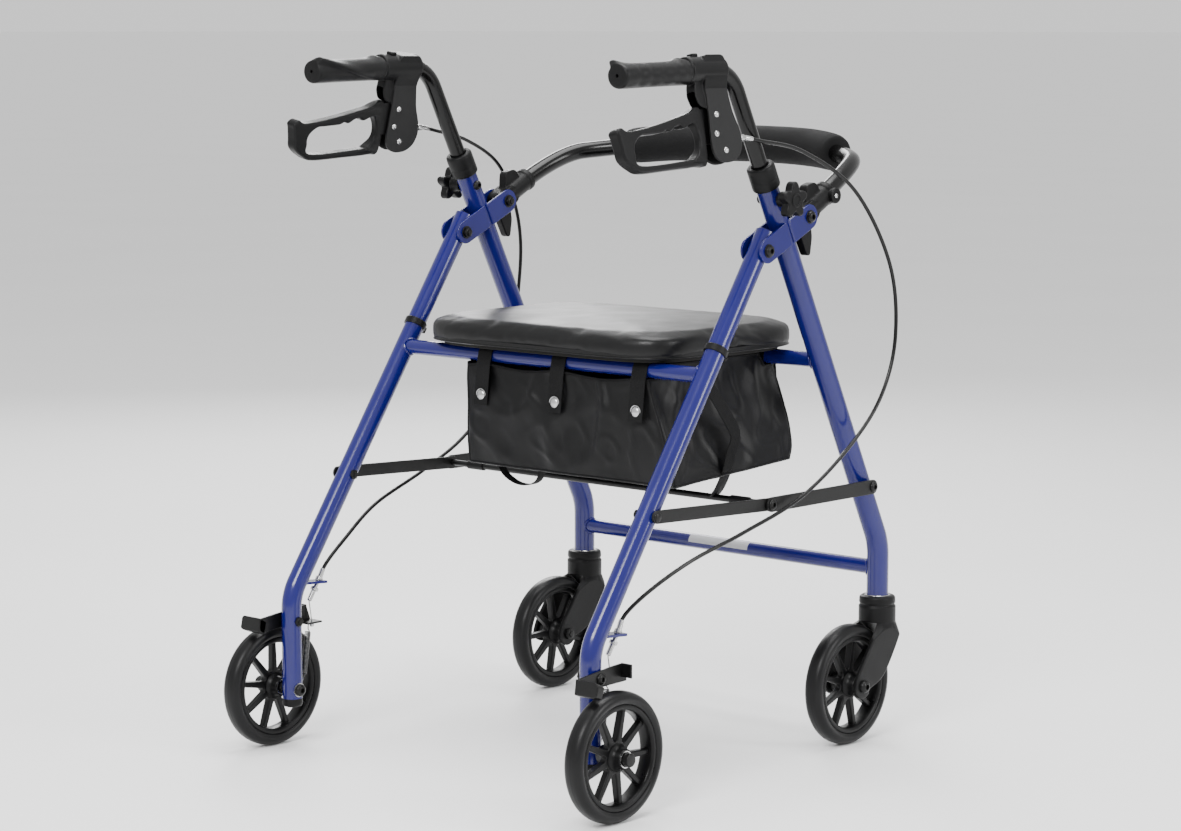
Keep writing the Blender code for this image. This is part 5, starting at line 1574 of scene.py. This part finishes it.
def make_cable(side, s):
    """A brake cable's sheath, in two lengths that meet beside the front post, with a ferrule at each end."""
    start = leaning_point(s, -0.0115, -0.08)
    guide_low, guide_high = guide_line(s * SIDE_X, 0.005)
    finish = guide_high + (guide_high - guide_low).normalized() * 0.02
    split = 5
    routes = CABLE_ROUTES[side]
    path = through_points([start, *routes, finish, guide_high], 0.006)
    middle = Vector(routes[split - 1])
    cut_at = min(range(len(path)), key=lambda i: (path[i] - middle).length)
    upper = rod(f"{side}_brake_cable_upper", path[: cut_at + 1], 0.0024, SHEATH, 16)
    lower = rod(f"{side}_brake_cable_lower", path[cut_at:], 0.0024, SHEATH, 16)
    ferrule = [(0.0, 0.0125), (0.0024, 0.0125), (0.0031, 0.0118), (0.0031, 0.0008), (0.0028, 0.0), (0.0, 0.0)]
    head = aim(turned("ferrule", ferrule, ZINC, 24), path[0], path[2] - path[0])
    foot = aim(turned("ferrule", ferrule, ZINC, 24), path[-1], path[-3] - path[-1])
    upper = merge(upper.name, [upper, head])
    lower = merge(lower.name, [lower, foot])
    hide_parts(f"{side}_brake_cable")
    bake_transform(upper)
    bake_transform(lower)


make_front_frame()
make_rear_frame()
make_wheels()
make_links()
make_seat()
make_bag()
make_backrest()
for side_name, side_sign in SIDES:
    make_caster(side_name, side_sign)
    make_brake_arm(side_name, side_sign)
    make_handle(side_name, side_sign)
    make_cable(side_name, side_sign)


# ---------------------------------------------------------------- floor, light and camera
def stage_look():
    made, tree, shader = material("pale_floor")
    fill(shader, Roughness=0.65)
    where = add(tree, "TexCoord").outputs["Object"]
    grain = add(tree, "TexNoise", where, "Vector", Scale=1.5).outputs["Fac"]
    mixed(tree, grain, (0.8, 0.8, 0.8), (0.84, 0.84, 0.84), shader)
    return made


ground = bmesh.new()
bmesh.ops.create_grid(ground, x_segments=1, y_segments=1, size=400.0)
floor = place("floor", mesh_of("floor", ground), stage_look())

world = bpy.data.worlds.new("studio")
scene.world = world
world.use_nodes = True
studio = world.node_tree
where = add(studio, "TexCoord").outputs["Generated"]
split = add(studio, "SeparateXYZ", where, "Vector").outputs["Z"]
band = add(studio, "MapRange", split, "Value", From_Min=0.0, From_Max=0.3, To_Min=0.905, To_Max=1.0)
sky = fill(studio.nodes["Background"], Strength=1.1)
studio.links.new(band.outputs["Result"], sky.inputs["Color"])


def softbox(name, position, target, width, height, power):
    lamp = bpy.data.lights.new(name, "AREA")
    lamp.shape = "RECTANGLE"
    lamp.size = width
    lamp.size_y = height
    lamp.energy = power
    obj = bpy.data.objects.new(name, lamp)
    scene.collection.objects.link(obj)
    obj.location = position
    obj.rotation_mode = "QUATERNION"
    obj.rotation_quaternion = (Vector(target) - Vector(position)).to_track_quat("-Z", "Y")
    return obj


softbox("key", (0.9, -2.8, 2.6), (0.0, 0.0, 0.45), 1.4, 1.0, 120)
softbox("top", (0.0, 0.3, 3.0), (0.0, 0.0, 0.4), 2.0, 1.6, 100)
softbox("side", (3.0, 0.8, 1.6), (0.0, 0.0, 0.45), 0.8, 1.6, 55)
softbox("back", (-2.4, 2.0, 1.8), (0.0, 0.0, 0.5), 1.2, 1.2, 50)

CAMERA_AT = (2.4953, -2.7766, 0.8978)   # fitted to the photo
CAMERA_LENS = 92.04                     # on a 36 mm sensor
CAMERA_TURN = math.radians(41.79)       # from -Y round to the user's right
CAMERA_TILT = math.radians(7.344)       # downward
camera_data = bpy.data.cameras.new("camera")
camera_data.lens = CAMERA_LENS
camera_data.sensor_width = 36.0
camera = bpy.data.objects.new("camera", camera_data)
scene.collection.objects.link(camera)
camera.location = CAMERA_AT
level = math.cos(CAMERA_TILT)
heading = Vector((-math.sin(CAMERA_TURN) * level, math.cos(CAMERA_TURN) * level, -math.sin(CAMERA_TILT)))
camera.rotation_mode = "QUATERNION"
camera.rotation_quaternion = heading.to_track_quat("-Z", "Y")
scene.camera = camera
